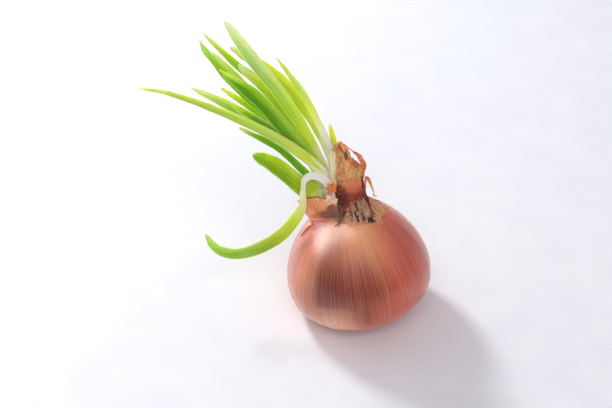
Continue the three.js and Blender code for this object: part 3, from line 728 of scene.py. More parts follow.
def stalk_flake(facing, low, high, span, curl, tone):
    """A thin loose layer on the stalk, with ragged edges that stand off it."""
    def surface(s, t):
        ragged = 1 + 0.45 * wobble(4 * t + facing, 2 * s, high) + 0.2 * wobble(13 * t, 5 * s, low)
        narrow = (1 - 0.8 * t ** 3) * (0.6 + 0.4 * smooth(t, 0, 0.25))
        drift = 16 * wobble(1.6 * t, facing)
        turn = math.radians(facing + drift + (s - 0.5) * span * narrow * ragged)
        height = mix(low, high, t) + 1.1 * wobble(4 * s, facing) * t
        lift = 0.2 + 0.5 * (2 * s - 1) ** 2 + curl * t ** 3 + 0.3 * wobble(3 * s, 6 * t, facing)
        point = stalk_point(turn, min(height, STALK_TOP - 0.4), max(lift, 0.1))
        return point + max(height - STALK_TOP + 0.4, 0) * UP
    return toned(sheet(surface, 16, 34, SKIN, THIN_EDGE), tone)


def stalk_mesh():
    """The withered stub: a flattened crumpled tube under torn, curled layers."""
    points = []
    places = []
    painted_shade_tones = []
    for i in range(STALK_RINGS):
        t = i / (STALK_RINGS - 1)
        height = mix(STALK_BOTTOM, STALK_TOP, t)
        for k in range(STALK_SIDES):
            turn = 2 * math.pi * k / STALK_SIDES
            point = stalk_point(turn, height, 0)
            front = max(-math.sin(turn), 0)
            hole = shares_off((point[0], height), STALK_HOLE, STALK_HOLE_REACH)
            lower = shares_off((point[0], height), STALK_LOWER_HOLE, STALK_LOWER_REACH)
            off_tear = abs(point[0] - STALK_HOLE[0] - TEAR_SLOPE * (STALK_HOLE[1] - height))
            tear = (1 - smooth(off_tear, 0.25, 0.7)) * smooth(height, TEAR_BOTTOM - 1, TEAR_BOTTOM + 1)
            pit = front * max(1 - smooth(hole, 0.5, 1.2), 0.8 * (1 - smooth(lower, 0.4, 1.3)),
                              0.8 * tear)
            point[1] += PIT_DEPTH * pit
            points.append(point)
            places.append((math.cos(turn), t * 4, math.sin(turn)))
            # The tone here is painted shade: dark in the holes and the tear, and in the sunken creases.
            painted_shade_tones.append((max(pit, 0.45 * max(-stalk_crumple(turn, height), 0)), 0, 0))
    for height in (STALK_BOTTOM, STALK_TOP):
        points.append(np.array([along(STALK_MIDDLE_U, height), along(STALK_MIDDLE_V, height), height]))
        places.append((0, 0, 0))
        painted_shade_tones.append((0.5, 0, 0))
    body = (np.array(points), ring_faces(STALK_RINGS, STALK_SIDES), {"place": places, "tone": painted_shade_tones})
    return join_shapes([body, *(stalk_flake(*flake) for flake in STALK_FLAKES)])


COLLAR_STRANDS = 90
STRAND_SEED = 11


def collar_mesh():
    """The fibrous skin from the bulb's shoulder to the stalk. Its foot is torn into a fringe on the
    bulb."""
    def reach(s):
        degrees = mix(COLLAR_FROM_DEGREES, COLLAR_TO_DEGREES, s)
        torn = abs(wobble(0.22 * degrees, 5)) + 0.5 * abs(wobble(0.75 * degrees, 9))
        return 0.06 + 0.55 * torn

    def rise_of(s, t):
        return mix(-reach(s), 1, t)

    def surface(s, t):
        degrees = mix(COLLAR_FROM_DEGREES, COLLAR_TO_DEGREES, s)
        rise = rise_of(s, t)
        fibres = 0.3 * wobble(0.5 * degrees, 1.5 * rise, 3)
        fibres += 0.16 * wobble(1.3 * degrees, 2.5 * rise, 6)
        waist = smooth(rise, 0, 0.35)
        lift = mix(0.14, 0.45, waist) + fibres * mix(0.25, 1, waist)
        return flare_point(degrees + 1.2 * wobble(0.2 * degrees, 3 * rise), rise, max(lift, 0.06))
    skin = toned(sheet(surface, 300, 48, SKIN, THIN_EDGE, lambda s, t: (s, rise_of(s, t))), 0)
    span = COLLAR_TO_DEGREES - COLLAR_FROM_DEGREES
    random = np.random.default_rng(STRAND_SEED)
    strands = []
    for _ in range(COLLAR_STRANDS):
        degrees = mix(COLLAR_FROM_DEGREES + 8, COLLAR_TO_DEGREES, random.random())
        low, high = 0.35 * (random.random() - 0.75), mix(0.45, 0.95, random.random())
        lifts = 0.35 + 0.7 * random.random(4)
        lifts[0] = 0.2 + 0.5 * random.random() ** 3
        drift = 7 * (random.random() - 0.5)
        path = [flare_point(degrees + drift * (1 - k / 3), mix(low, high, k / 3), lifts[k])
                for k in range(4)]
        width = mix(0.12, 0.3, random.random())
        shape = sweep(path, 16, 6, (0.1, -0.8, 0.6), lambda t, a: (
            width * (1 - 0.7 * abs(2 * t - 1) ** 2) * math.cos(a), 0.5 * width * math.sin(a)))
        place = np.clip((degrees - COLLAR_FROM_DEGREES) / span, 0, 1)
        shape[2]["place"] = [(place, mix(low, high, p[1]), 0) for p in shape[2]["place"]]
        strands.append(toned(shape, random.random() ** 2))
    return join_shapes([skin, *strands])


BAND_TOP = 19.6
BAND_BOTTOM = 9.4
BAND_LENGTH = 17
BAND_FROM_DEGREES = -185
BAND_TO_DEGREES = 15
BAND_TOP_RADII = (6.4, 4.7)
BAND_TOP_CENTRE_U = 3.7
FLAP_DEGREES = -120
FLAP_LEFT_SPAN = 44
FLAP_RIGHT_SPAN = 30
FLAP_TIP = 2.0


def band_mesh():
    """The dark band, the pointed flap that hangs from it and the flap's thread."""
    def height_of(s, t):
        degrees = mix(BAND_FROM_DEGREES, BAND_TO_DEGREES, s)
        span = FLAP_LEFT_SPAN if degrees < FLAP_DEGREES else FLAP_RIGHT_SPAN
        away = min(abs(degrees - FLAP_DEGREES) / span, 1)
        bottom = mix(FLAP_TIP, BAND_BOTTOM, away ** 0.9)
        bottom += 0.4 * wobble(0.12 * degrees, 2) + 0.25 * wobble(0.4 * degrees, 4)
        torn = (1.9 * wobble(0.06 * degrees, 8) + 0.7 * wobble(0.3 * degrees, 3)) * (1 - t)
        return mix(BAND_TOP + torn, bottom, t)

    def surface(s, t):
        degrees = mix(BAND_FROM_DEGREES, BAND_TO_DEGREES, s)
        height = height_of(s, t)
        rise = min((height + 0.3) / COLLAR_TOP, 1)
        above = smooth(height, COLLAR_TOP, BAND_TOP)
        wrinkle = 0.26 * wobble(0.05 * degrees, 0.5 * height, 2)
        wrinkle += 0.12 * wobble(0.12 * degrees, 1.4 * height, 5)
        wrinkle += 0.22 * math.sin(3.4 * height + 0.06 * degrees) * smooth(height, 15, 12)
        lift = 0.95 + wrinkle
        u, v, _ = flare_point(degrees, rise, lift)
        angle = math.radians(degrees)
        top_u = BAND_TOP_CENTRE_U + (BAND_TOP_RADII[0] + 0.5 * wrinkle) * math.cos(angle)
        top_v = COLLAR_TOP_CENTRE[1] + (BAND_TOP_RADII[1] + 0.5 * wrinkle) * math.sin(angle)
        return np.array([mix(u, top_u, above), mix(v, top_v, above), height])

    def label(s, t):
        return s, (BAND_TOP - height_of(s, t)) / BAND_LENGTH
    body = toned(sheet(surface, 160, 60, SKIN, THIN_EDGE, label), 0)
    thread = toned(sweep([
        flare_point(-117, 0.36, 0.9), flare_point(-120, 0.24, 1.0), flare_point(-126, 0.04, 0.8),
        flare_point(-128, -0.14, 0.8), flare_point(-128, -0.28, 0.6), flare_point(-132, -0.42, 0.3),
    ], 50, 12, (-0.3, -0.8, 0.6), lambda t, a: (
        mix(0.95, 0.14, t ** 0.6) * math.cos(a), mix(0.35, 0.14, t) * math.sin(a))), 0.8)
    thread[2]["place"] = [(0.33, 0.95, 0)] * len(thread[0])
    return join_shapes([body, thread])


STRIPS = {
    "neck_strand": dict(
        points=[(9.8, -5, 19.8), (9.7, -5.1, 17), (9.7, -5.2, 14), flare_point(-24, 0.9, 1.5),
                flare_point(-26, 0.72, 1.6), flare_point(-35, 0.36, 1.3), flare_point(-38, 0.18, 1.1),
                flare_point(-36, 0.04, 0.7)],
        widths=[(0, 0.7), (0.3, 1.2), (0.6, 1.4), (1, 0.5)], facing=(0.5, -0.85, 0.3), twist=0.5),
    "stalk_strip": dict(
        points=[(9.2, -2.2, 17.4), (10.1, -2, 20), (10.8, -1.8, 23), (10.5, -1.6, 26.3),
                (9.4, -1.5, 29.6), (7.6, -1.4, 31.7), (5.6, -1.3, 34), (4.0, -1.3, 36.2)],
        widths=[(0, 2.4), (0.3, 3.2), (0.5, 2.6), (0.66, 1.5), (0.76, 0.6), (1, 0.45)],
        facing=(0.3, -0.85, 0.2), twist=0.5),
    "loose_curl": dict(
        points=[(10.0, -1.4, 10.2), (10.4, -1.2, 14), (11.2, -1.1, 16.6), (12.3, -1.1, 16.6),
                (12.9, -1.2, 14.4), (13.2, -1.3, 11.4), (13.9, -1.3, 8.2), (13.5, -1.3, 6.2),
                (15.2, -1.6, 5.4)],
        widths=[(0, 1.3), (0.25, 2.0), (0.42, 2.2), (0.6, 1.2), (0.8, 1.1), (1, 0.7)],
        facing=(0.2, -0.9, 0.3), twist=0.9),
}


def turned(a, b, angle):
    """Offsets across and through, turned by an angle."""
    return a * math.cos(angle) - b * math.sin(angle), a * math.sin(angle) + b * math.cos(angle)


def strip_mesh(points, widths, facing, twist):
    """A torn ribbon of dry skin that twists and has uneven edges."""
    def section(t, turn):
        half = along(widths, t) / 2
        side = math.cos(turn)
        uneven = 1 + 0.45 * wobble(7 * t, 2 * side, half) + 0.2 * wobble(21 * t, 3 * side)
        dish = 0.12 * math.sin(turn) + 0.5 * half * side ** 2 + 0.2 * wobble(11 * t, 5)
        return turned(half * uneven * side, dish, twist * math.sin(5 * t))
    return toned(sweep(points, 90, 20, facing, section), 0)


DRY_SHEATH_PATH = [(-4, -4.4, 14.5), (-3.4, -4.1, 24), (-2.7, -3.7, 29.5), (-2.1, -3.4, 35)]
SHEATH_ROWS = 60


def dry_sheath_mesh():
    """The papery cream sheath, pleated along, torn at the top."""
    places, _ = smooth_path(DRY_SHEATH_PATH, SHEATH_ROWS + 1)

    def surface(s, t):
        centre = places[round(SHEATH_ROWS * t)]
        side = 2 * s - 1
        half = mix(2.3, 1.6, t) * (1 + 0.12 * wobble(5 * t, side))
        pleats = 0.22 * math.sin(11 * s + 2 * t) + 0.3 * wobble(5 * s, 3 * t, 4)
        top = (0.9 * math.sin(7 * s) + 1.5 * wobble(7 * s, 2)) * t ** 3
        back = 0.9 * side * side + pleats
        return np.array([centre[0] + half * side, centre[1] + back, centre[2] + top])
    return toned(sheet(surface, 36, SHEATH_ROWS, PAPER, PAPER_EDGE), 0)


SCRAPS = {
    "orange_scrap": dict(centre=(-5.3, -8.6, 17.6), width=4.5, height=5.6, crumple=0.45, tilt=0.15),
    "pale_scrap": dict(centre=(-6.4, -10.2, 12.4), width=5.6, height=5.4, crumple=0.7, tilt=0.3),
}


def scrap_mesh(centre, width, height, crumple, tilt):
    """A small crumpled patch of torn skin."""
    centre = np.array(centre, float)
    up = unit(np.array([0, tilt, 1]))
    across = np.array([1, 0.25, 0])
    out = unit(np.cross(across, up))

    def surface(s, t):
        edge = 1 + 0.3 * wobble(6 * t, 2 * s, centre[2]) + 0.16 * wobble(17 * t, 4 * s, 3)
        a = (s - 0.5) * width * (0.75 + 0.25 * math.sin(math.pi * t + 0.4)) * edge
        b = (t - 0.5) * height * (0.85 + 0.15 * math.sin(7 * s)) * (1 + 0.25 * wobble(7 * s, 5))
        c = crumple * (math.sin(5 * s + 2) * math.cos(4 * t) + 0.5 * math.sin(9 * t + 3 * s))
        c += 0.7 * crumple * wobble(5 * s, 6 * t, 2)
        return centre + across * a + up * b + out * c
    return toned(sheet(surface, 40, 36, PAPER, PAPER_EDGE), 0)


# The cup's foot runs round the crown from one heading and radius to the other.
CUP_FROM_DEGREES = -108
CUP_TO_DEGREES = -190
CUP_FOOT_FROM = 10.6
CUP_FOOT_TO = 19.4
CUP_RIM = [(-4, -9.8, 9), (-9.4, -8, 12.4), (-16.6, -4, 12.4), (-23, -0.8, 9.4)]


def cup_mesh():
    """The torn skin that flares to the left. A fold runs up across it, and it sinks in below that."""
    knots = with_ends(CUP_RIM)

    def rim_point(s):
        place = min(s, 0.9999) * (len(CUP_RIM) - 1)
        i = int(place)
        return between(knots[i:i + 4], place - i)

    def surface(s, t):
        radius = mix(CUP_FOOT_FROM, CUP_FOOT_TO, s * s)
        out = level_way(mix(CUP_FROM_DEGREES, CUP_TO_DEGREES, s))
        foot = out * radius + (crown_height(radius) + 0.4) * UP
        point = mix(foot, rim_point(s), t)
        bulge = 1.3 * math.sin(math.pi * t) + 0.5 * wobble(5 * s, 3 * t, 6) * t
        fold = t - (1.15 - 1.2 * s) * 0.75
        ridge = 0.9 * math.exp(-(fold / 0.12) ** 2) * smooth(s, 0.3, 0.5)
        sunk = -0.9 * smooth(-fold, 0.05, 0.3) * math.sin(math.pi * t)
        pleat = 0.12 * math.sin(60 * s) * t + 0.3 * wobble(16 * s, 1.5 * t, 2) * t
        curl = 0.9 * smooth(t, 0.8, 1) * (0.5 + wobble(6 * s, 3))
        torn = (0.5 * math.sin(17 * s) + 1.0 * wobble(9 * s, 1) + 0.6 * wobble(26 * s, 3)) * t ** 3
        return point + out * (bulge + ridge + sunk + pleat + curl) + torn * UP
    return toned(sheet(surface, 130, 50, PAPER, THIN_EDGE), 0)


TONGUE_DEGREES = 184
TONGUE_RADIUS = 18
TONGUE_LENGTH = 7
TONGUE_WIDTHS = (4.2, 1.2)


def tongue_mesh():
    """A narrow tongue of the glossy skin, lifted off the left shoulder."""
    out = level_way(TONGUE_DEGREES)
    side = np.array([-out[1], out[0], 0])

    def surface(s, t):
        radius = TONGUE_RADIUS + TONGUE_LENGTH * t
        width = mix(*TONGUE_WIDTHS, t ** 1.5) * (1 + 0.25 * wobble(6 * t, 1))
        lift = 0.4 + 0.9 * math.sin(math.pi * t) + 0.25 * wobble(4 * s, 4 * t)
        point = out * radius + side * (0.6 + (s - 0.5) * width)
        return point + (crown_height(math.hypot(point[0], point[1])) + lift) * UP
    return toned(sheet(surface, 24, 30, SKIN, PAPER_EDGE), 0)


# Where the shades of dry skin start on its noise, and how far they run.
FIBRE_DARK = 0.35
FIBRE_SPAN = 0.3

# How fine its patches, frayed edges and speckles are, and the share of a gradient in its colour.
PATCH_SCALE = 330.0
FRAY_SCALE = 900.0
SPECKLE_SCALE = 1300.0
GRADIENT_SHARE = 0.62


def dry_finish(name, shades, roughness, stretch, relief, glow=0.0, stains_and_shade=(), gradient=None,
               speckle=None, dark=(70, 28, 18), torn=0.55):
    """Dry papery skin. shades run from dark to light along its fibres. gradient is (place, shade)
    along t. Patches are mould, darker skin and painted shade; each is its (s, t), its reach along s and
    t, its shade and its strength."""
    dry = Finish(name, roughness, Subsurface_Weight=glow, Subsurface_Radius=(1.0, 0.45, 0.2),
                 Subsurface_Scale=1.0 * MM, Coat_Weight=0.1, Coat_Roughness=0.3)
    place = dry.attribute("place")
    tone = dry.split(dry.attribute("tone"))[0]
    position = dry.position()
    fibres = dry.noise(place, (*stretch, 1), 5, 0.62, 0.3)
    patches = dry.noise(position, PATCH_SCALE, 4, 0.6)
    both = dry.plus(dry.times(fibres, 0.6), dry.times(patches, 0.4))
    step = FIBRE_SPAN / (len(shades) - 1)
    base = dry.ramp(both, [(FIBRE_DARK + step * i, shade) for i, shade in enumerate(shades)])
    if gradient:
        reach = dry.plus(dry.split(place)[1], dry.ranged(both, 0.3, 0.7, -0.07, 0.07))
        low, high = gradient[0][0], gradient[-1][0]
        stops = [((stop - low) / (high - low), shade) for stop, shade in gradient]
        base = dry.blend(GRADIENT_SHARE, base, dry.ramp(dry.ranged(reach, low, high), stops))
    if speckle:
        spots = dry.noise(position, SPECKLE_SCALE, 3, 0.6)
        base = dry.over(base, speckle, spots, 0.56, 0.66, 0.35)
    # Darker by tone: tone that differs at random on flakes and strands, and painted shade in the
    # stalk's holes, tear and sunken creases.
    base = dry.over(base, dark, tone, 0.0, 1.0, 0.85)
    ragged = dry.ranged(dry.plus(fibres, dry.noise(position, FRAY_SCALE, 3)), 0.75, 1.2, torn, -torn)
    for spot, reach, shade, strength in stains_and_shade:
        scaled = dry.stretch(place, (1 / reach[0], 1 / reach[1], 0))
        gap = dry.gap(scaled, (spot[0] / reach[0], spot[1] / reach[1], 0))
        stain_and_shade_share = dry.ranged(dry.plus(gap, ragged), 0.75, 1.1, strength, 0.0)
        base = dry.blend(stain_and_shade_share, base, shade)
    return dry.finish(base, dry.plus(fibres, dry.times(patches, 0.5)), relief)


# The shoots and the leaves.

SHOOTS = {
    "shoot_front": [(-7.5, 1, -3.7), (-7.6, 1.1, 4), (-7.8, 1.3, 12)],
    "shoot_middle": [(-4.3, 6.6, -3.7), (-5, 7, 4), (-5.8, 7.6, 12)],
    "shoot_back": [(-10.6, 6.9, -3.7), (-11.4, 8.3, 4), (-12, 9.8, 11)],
}
SHOOT_RADIUS = 2.9


def shoot_mesh(points):
    """The white foot of a shoot, finely ribbed."""
    def section(t, turn):
        swell = 0.92 + 0.08 * math.cos(2 * math.pi * t)
        radius = SHOOT_RADIUS * swell * mix(1, 0.8, smooth(t, 0.85, 1))
        ribs = 0.05 * math.sin(14 * turn)
        return (radius + ribs) * math.cos(turn), (0.95 * radius + ribs) * math.sin(turn)
    return sweep(points, 40, 48, (0, -1, 0), section)


# How wide a leaf is along its length, as shares.
POINTED = [(0, 0.48), (0.18, 0.54), (0.48, 1), (0.76, 0.94), (0.92, 0.6), (1, 0.06)]
BLUNT = [(0, 0.48), (0.18, 0.54), (0.48, 1), (0.78, 0.96), (0.92, 0.76), (0.975, 0.48), (1, 0.12)]
BROAD = [(0, 1.1), (0.16, 1.16), (0.45, 1), (0.75, 0.96), (0.9, 0.76), (0.97, 0.5), (1, 0.12)]
SLIM = [(0, 0.8), (0.2, 0.98), (0.36, 1), (0.52, 0.86), (0.68, 0.66), (0.84, 0.48), (0.94, 0.3),
        (1, 0.05)]
TAPERED = [(0, 0.9), (0.3, 1), (0.5, 0.9), (0.75, 0.78), (0.92, 0.66), (0.98, 0.4), (1, 0.1)]
DROOPING = [(0, 0.6), (0.17, 0.64), (0.24, 0.66), (0.29, 0.54), (0.335, 0.38), (0.4, 0.54), (0.5, 0.9),
            (0.66, 1.0), (0.84, 0.86), (0.94, 0.66), (0.985, 0.4), (1, 0.1)]

WHITE = (255, 255, 248)
CREAM = (248, 250, 204)
YELLOW_GREEN = (214, 232, 60)
LIME = (236, 248, 64)
PALE_GREEN = (206, 234, 120)
GREEN = (172, 212, 16)
DEEP_GREEN = (92, 152, 10)
TIP_PALE = (220, 238, 190)
VEIN_PALE = (224, 240, 140)
MID_GREEN = (128, 184, 30)
FRONT_GREEN = (152, 202, 14)
BROAD_GREEN = (190, 218, 16)
TALL_GREEN = (212, 242, 40)
SLIM_GREEN = (216, 238, 104)
DROOP_GREEN = (192, 210, 46)
MINT = (154, 204, 122)
MINT_WHITE = (222, 244, 206)

# Each leaf: its slot, widest width, twist in radians, the shares of its length that are white and then
# pale, blade and tip colours, where the tip's colour starts, how deep its shaded side is, how its width
# runs, and the points that its middle passes through.
LEAVES = {
    "drooping": ("pale", 6.3, 0.15, 0.28, 0.5, DROOP_GREEN, MINT, 0.66, 0.35, DROOPING, [
        (-6.8, -3.4, -3.7), (-6.2, -4.2, 8), (-6.5, -5.2, 17), (-9, -6.2, 22.4),
        (-13.5, -6.6, 24.8), (-17.4, -6.2, 22.6), (-19.2, -5.2, 16), (-21.2, -4.2, 7),
        (-27.6, -3.4, -1.5), (-34.2, -2.4, -8), (-42.6, -1.4, -13), (-51.4, -0.8, -16),
        (-59, -0.5, -16.4), (-65.4, -0.8, -13.4), (-69, -1.2, -8.4), (-70.6, -2, -2),
    ]),
    "long_slim": ("green", 5.3, 0.3, 0.12, 0.22, SLIM_GREEN, PALE_GREEN, 0.84, 0.3, SLIM, [
        (-7.2, 0.4, 6), (-7.8, -0.8, 20.8), (-18.7, 0.2, 35.3), (-33.7, 1.7, 48.8),
        (-53.7, 3.7, 61.8), (-74.2, 5.7, 72.8), (-88.7, 7.2, 77.3),
    ]),
    "low_broad": ("green", 8.5, 0.1, 0.12, 0.3, BROAD_GREEN, MID_GREEN, 0.84, 0.5, BROAD, [
        (-8, 1, -1.5), (-11.2, 1.8, 4.4), (-14.4, 2, 9.2), (-19.2, 1.5, 14.2), (-30, 0, 29),
        (-40, -0.5, 37.5),
    ]),
    "front_green": ("green", 7.1, 0.2, 0.14, 0.22, FRONT_GREEN, PALE_GREEN, 0.84, 0.85, POINTED, [
        (-8, 2, 6), (-8.8, 3, 22.2), (-21.4, 2.8, 43.8), (-32.4, 2.5, 64), (-47.5, 2, 82.6),
    ]),
    "inner_slim": ("pale", 3.5, 0.25, 0.36, 0.62, PALE_GREEN, GREEN, 0.84, 0.35, POINTED, [
        (-4, 5.6, 6), (-2.9, 3.4, 20), (-3, 2, 32.4), (-7, 1, 49.4), (-11.5, -0.5, 66.4),
        (-20, -1.5, 86),
    ]),
    "tallest": ("pale", 6.5, 0.2, 0.17, 0.28, TALL_GREEN, MINT_WHITE, 0.5, 0.35, BLUNT, [
        (-5.8, 6, 6), (-7.7, 5.5, 22), (-13.7, 4.5, 43), (-21.7, 3, 65.5), (-31.7, 2, 86),
        (-40.2, 1, 106.5),
    ]),
    "mid_small": ("deep", 3.9, 0.3, 0.1, 0.2, MID_GREEN, PALE_GREEN, 0.84, 0.35, TAPERED, [
        (-9, 2.5, 3), (-11, 4.6, 9.2), (-14.6, 6.3, 14.6), (-19.2, 7, 21.6), (-29, 8.5, 34.6),
        (-45.5, 11, 47),
    ]),
    "mid_dark": ("deep", 3.8, 0.2, 0.1, 0.24, DEEP_GREEN, GREEN, 0.84, 0.35, BLUNT, [
        (-12, 8.4, 6), (-14.7, 6, 24.7), (-22.7, 7.5, 36.2), (-36.2, 10, 49.7), (-46.7, 12, 59.2),
    ]),
    "bud": ("lime", 3, 0.1, 0.3, 0.5, LIME, YELLOW_GREEN, 0.84, 0.35, BLUNT, [
        (-4.4, 7, 6), (-1.8, 6, 18), (-0.5, 5.5, 25.5), (-1, 5.5, 32), (-1.6, 5.5, 44.5),
    ]),
    "hooked": ("deep", 6, 0.35, 0.1, 0.22, GREEN, MINT, 0.84, 0.35, POINTED, [
        (-6.6, 8.2, 6), (-9.5, 8, 19), (-23.5, 10.5, 43), (-40, 13.5, 64.5), (-53, 16, 85),
        (-56, 17, 93),
    ]),
    "mid_pale": ("pale", 6, 0.3, 0.14, 0.36, LIME, TIP_PALE, 0.84, 0.35, BLUNT, [
        (-5.8, 9, 6), (-8.8, 11, 21), (-15.8, 13, 35.6), (-27.7, 16.5, 59.8), (-40.6, 20, 75.5),
    ]),
    "back_lime": ("lime", 6, 0.3, 0.18, 0.36, LIME, TIP_PALE, 0.84, 0.35, BLUNT, [
        (-4.4, 8.8, 6), (-4.6, 11, 18), (-5.5, 12, 26), (-7.5, 13.5, 35.5), (-12.5, 16, 48.5),
        (-24, 19.5, 67), (-43.5, 24.5, 83.5),
    ]),
    "back_low": ("pale", 5, 0.2, 0.08, 0.2, PALE_GREEN, TIP_PALE, 0.84, 0.35, POINTED, [
        (-12.2, 9.2, 5), (-13, 10.5, 22), (-22.5, 13, 34.5), (-44, 18, 52), (-66.5, 23, 66.5),
    ]),
    "back_short": ("lime", 3.6, 0.2, 0.1, 0.22, GREEN, PALE_GREEN, 0.84, 0.35, BLUNT, [
        (-11.4, 10, 5), (-10.8, 14, 18.6), (-18.2, 16.5, 29.3), (-36.6, 22, 48.5),
        (-52.5, 26.5, 62.2),
    ]),
    "back_pale": ("pale", 4, 0.3, 0.1, 0.24, PALE_GREEN, TIP_PALE, 0.84, 0.35, POINTED, [
        (-12.2, 10.6, 5), (-14.1, 17, 21.3), (-24.1, 21, 36.8), (-39.5, 27, 59.3),
        (-54.5, 32.5, 80.3),
    ]),
    "back_far": ("green", 4, 0.3, 0.1, 0.22, GREEN, PALE_GREEN, 0.84, 0.35, POINTED, [
        (-11, 10.8, 5), (-9.6, 18.5, 19), (-17, 22.5, 33.5), (-32, 29.5, 56.5),
        (-44.5, 34.5, 70.5), (-57.5, 40, 86.5),
    ]),
}

LEAF_FACING = (-0.1, -0.86, 0.5)
LEAF_THICKNESSES = [(0, 0.42), (0.3, 0.34), (0.7, 0.22), (1, 0.06)]
LEAF_DISH = 0.13
LEAF_SIDES = 28


def leaf_mesh(points, width, widths, twist):
    """A young onion leaf: round at its foot, then a dished blade with fine ribs and a soft midrib."""
    length = sum(math.dist(a, b) for a, b in zip(points, points[1:]))

    def section(t, turn):
        side = math.cos(turn)
        half = along(widths, t) * width / 2 * (1 + 0.05 * wobble(0.12 * length * t, width))
        thick = along(LEAF_THICKNESSES, t) * width / 2
        opened = smooth(t, 0.1, 0.4)
        dish = LEAF_DISH * 2 * half * side * side * opened
        ribs = 0.02 * math.sin(9 * math.pi * side) * opened
        wave = 0.05 * width * math.sin(0.35 * length * t + 3 * width) * side * smooth(t, 0.3, 0.7)
        a = half * side
        b = thick * math.sin(turn) + dish + ribs + wave
        spin = twist * math.sin(0.07 * length * t + 5 * width) * opened
        return turned(a, b, spin)
    return sweep(points, int(length * 1.1) + 12, LEAF_SIDES, LEAF_FACING, section)


def leaf_finish(name, white, pale, blade, tip, fade, shaded):
    """Fresh leaf: white at its foot, then pale, then green, with veins along it, painted shade on one
    side and a painted highlight along its edges."""
    leaf = Finish(name, 0.38, Subsurface_Weight=0.85, Subsurface_Radius=(0.9, 1.0, 0.3),
                  Subsurface_Scale=2.6 * MM, Coat_Weight=0.06, Coat_Roughness=0.25,
                  Specular_IOR_Level=0.24)
    place = leaf.attribute("place")
    side, length, _ = leaf.split(place)
    mottle = leaf.noise(place, (3, 9, 1), 3)
    veins = leaf.noise(place, (18, 1.1, 1), 4, 0.62)
    spread = leaf.plus(length, leaf.ranged(mottle, 0.3, 0.7, -0.05, 0.05))
    base = leaf.ramp(spread, [
        (0.0, WHITE), (white, WHITE), (mix(white, pale, 0.5), CREAM), (pale, YELLOW_GREEN),
        (min(pale + 0.1, fade - 0.02), blade), (fade, blade), (0.98, tip),
    ])
    base = leaf.over(base, VEIN_PALE, veins, 0.51, 0.65, 0.5)
    open_blade = leaf.ranged(spread, pale, pale + 0.2, 0.0, 0.7)
    deep = leaf.times(leaf.ranged(veins, 0.48, 0.37), open_blade)
    base = leaf.blend(deep, base, DEEP_GREEN)
    # Painted shade on one side of the blade, past its pale foot.
    across = leaf.ranged(leaf.math("SUBTRACT", mottle, side), 0.1, 0.9, shaded, 0.0)
    grown = leaf.ranged(spread, pale, pale + 0.25, 0.0, 1.0)
    base = leaf.blend(leaf.times(across, grown), base, DEEP_GREEN)
    # Painted highlight along both edges of the blade.
    base = leaf.over(base, TIP_PALE, leaf.math("ABSOLUTE", side), 0.75, 1.0, 0.25)
    return leaf.finish(base, veins, 0.12)


def shoot_finish():
    """Waxy white with faint yellowish veins."""
    shoot = Finish("shoot_white", 0.4, Subsurface_Weight=0.5, Subsurface_Radius=(1.0, 1.0, 0.7),
                   Subsurface_Scale=1.5 * MM)
    place = shoot.attribute("place")
    veins = shoot.noise(place, (14, 1.2, 14), 3)
    base = shoot.ramp(veins, [(0.35, (214, 220, 160)), (0.5, (236, 238, 212)), (0.7, WHITE)])
    return shoot.finish(base, veins, 0.12)


# Every piece of the onion.

DRY_ORANGES = [(218, 110, 56), (255, 162, 92), (255, 200, 138), (255, 230, 196)]
STRIP_ORANGES = [(164, 66, 40), (214, 106, 66), (232, 144, 98), (246, 184, 146)]
SCRAP_ORANGES = [(196, 88, 34), (232, 124, 50), (244, 150, 76), (250, 182, 116)]
CUP_ORANGES = [(206, 108, 52), (236, 144, 80), (248, 172, 106), (252, 202, 150)]
SALMONS = [(206, 104, 76), (232, 134, 100), (246, 166, 132), (252, 198, 170)]
TANS = [(128, 84, 58), (196, 142, 100), (228, 180, 136), (246, 212, 172)]
CURL_TANS = [(176, 112, 62), (224, 158, 94), (242, 190, 128), (252, 222, 174)]
STRAND_REDS = [(64, 16, 12), (108, 32, 24), (146, 56, 38)]
DARK_REDS = [(92, 26, 20), (152, 50, 36), (186, 82, 52), (218, 128, 84)]
CREAMS = [(240, 186, 116), (252, 222, 158), (255, 240, 196), (255, 248, 224)]
PALE_TANS = [(216, 148, 108), (240, 194, 156), (252, 224, 194), (255, 238, 218)]
MOULD = (26, 24, 28)
MOULD_GREY = (96, 84, 80)
# Brown of the mould streaks, also used for the painted shadow under the band.
MOULD_AND_SHADE_BROWN = (92, 56, 40)
# Painted shade on the collar's left and on the cup.
PAINTED_SHADE_BROWN = (112, 78, 62)
# Painted shade on the inner side of the cup's rim.
RIM_SHADE_PURPLE = (112, 50, 46)

# Stains, and patches of painted shade, are (s, t), their reach along s and t, their shade and their
# strength.
COLLAR_MOULD_AND_SHADE = [
    ((0.285, 0.2), (0.022, 0.22), MOULD, 0.95), ((0.42, -0.04), (0.034, 0.14), MOULD, 0.97),
    ((0.375, 0.24), (0.02, 0.22), MOULD_GREY, 0.8), ((0.35, 0.1), (0.012, 0.2), MOULD, 0.8),
    ((0.22, 0.32), (0.025, 0.3), MOULD_AND_SHADE_BROWN, 0.8), ((0.46, 0.12), (0.02, 0.16), MOULD_AND_SHADE_BROWN, 0.7),
    # The first here is painted shade on the collar's left, between the flap and the cup.
    ((0.08, 0.4), (0.09, 0.7), PAINTED_SHADE_BROWN, 0.75), ((0.32, 0.62), (0.03, 0.2), MOULD_AND_SHADE_BROWN, 0.8),
    # Painted shadow under the band's lower edge.
    ((0.4, 0.95), (0.4, 0.16), MOULD_AND_SHADE_BROWN, 0.85),
]
BAND_STAINS = [((0.24, 0.5), (0.2, 0.42), (92, 26, 24), 0.75)]
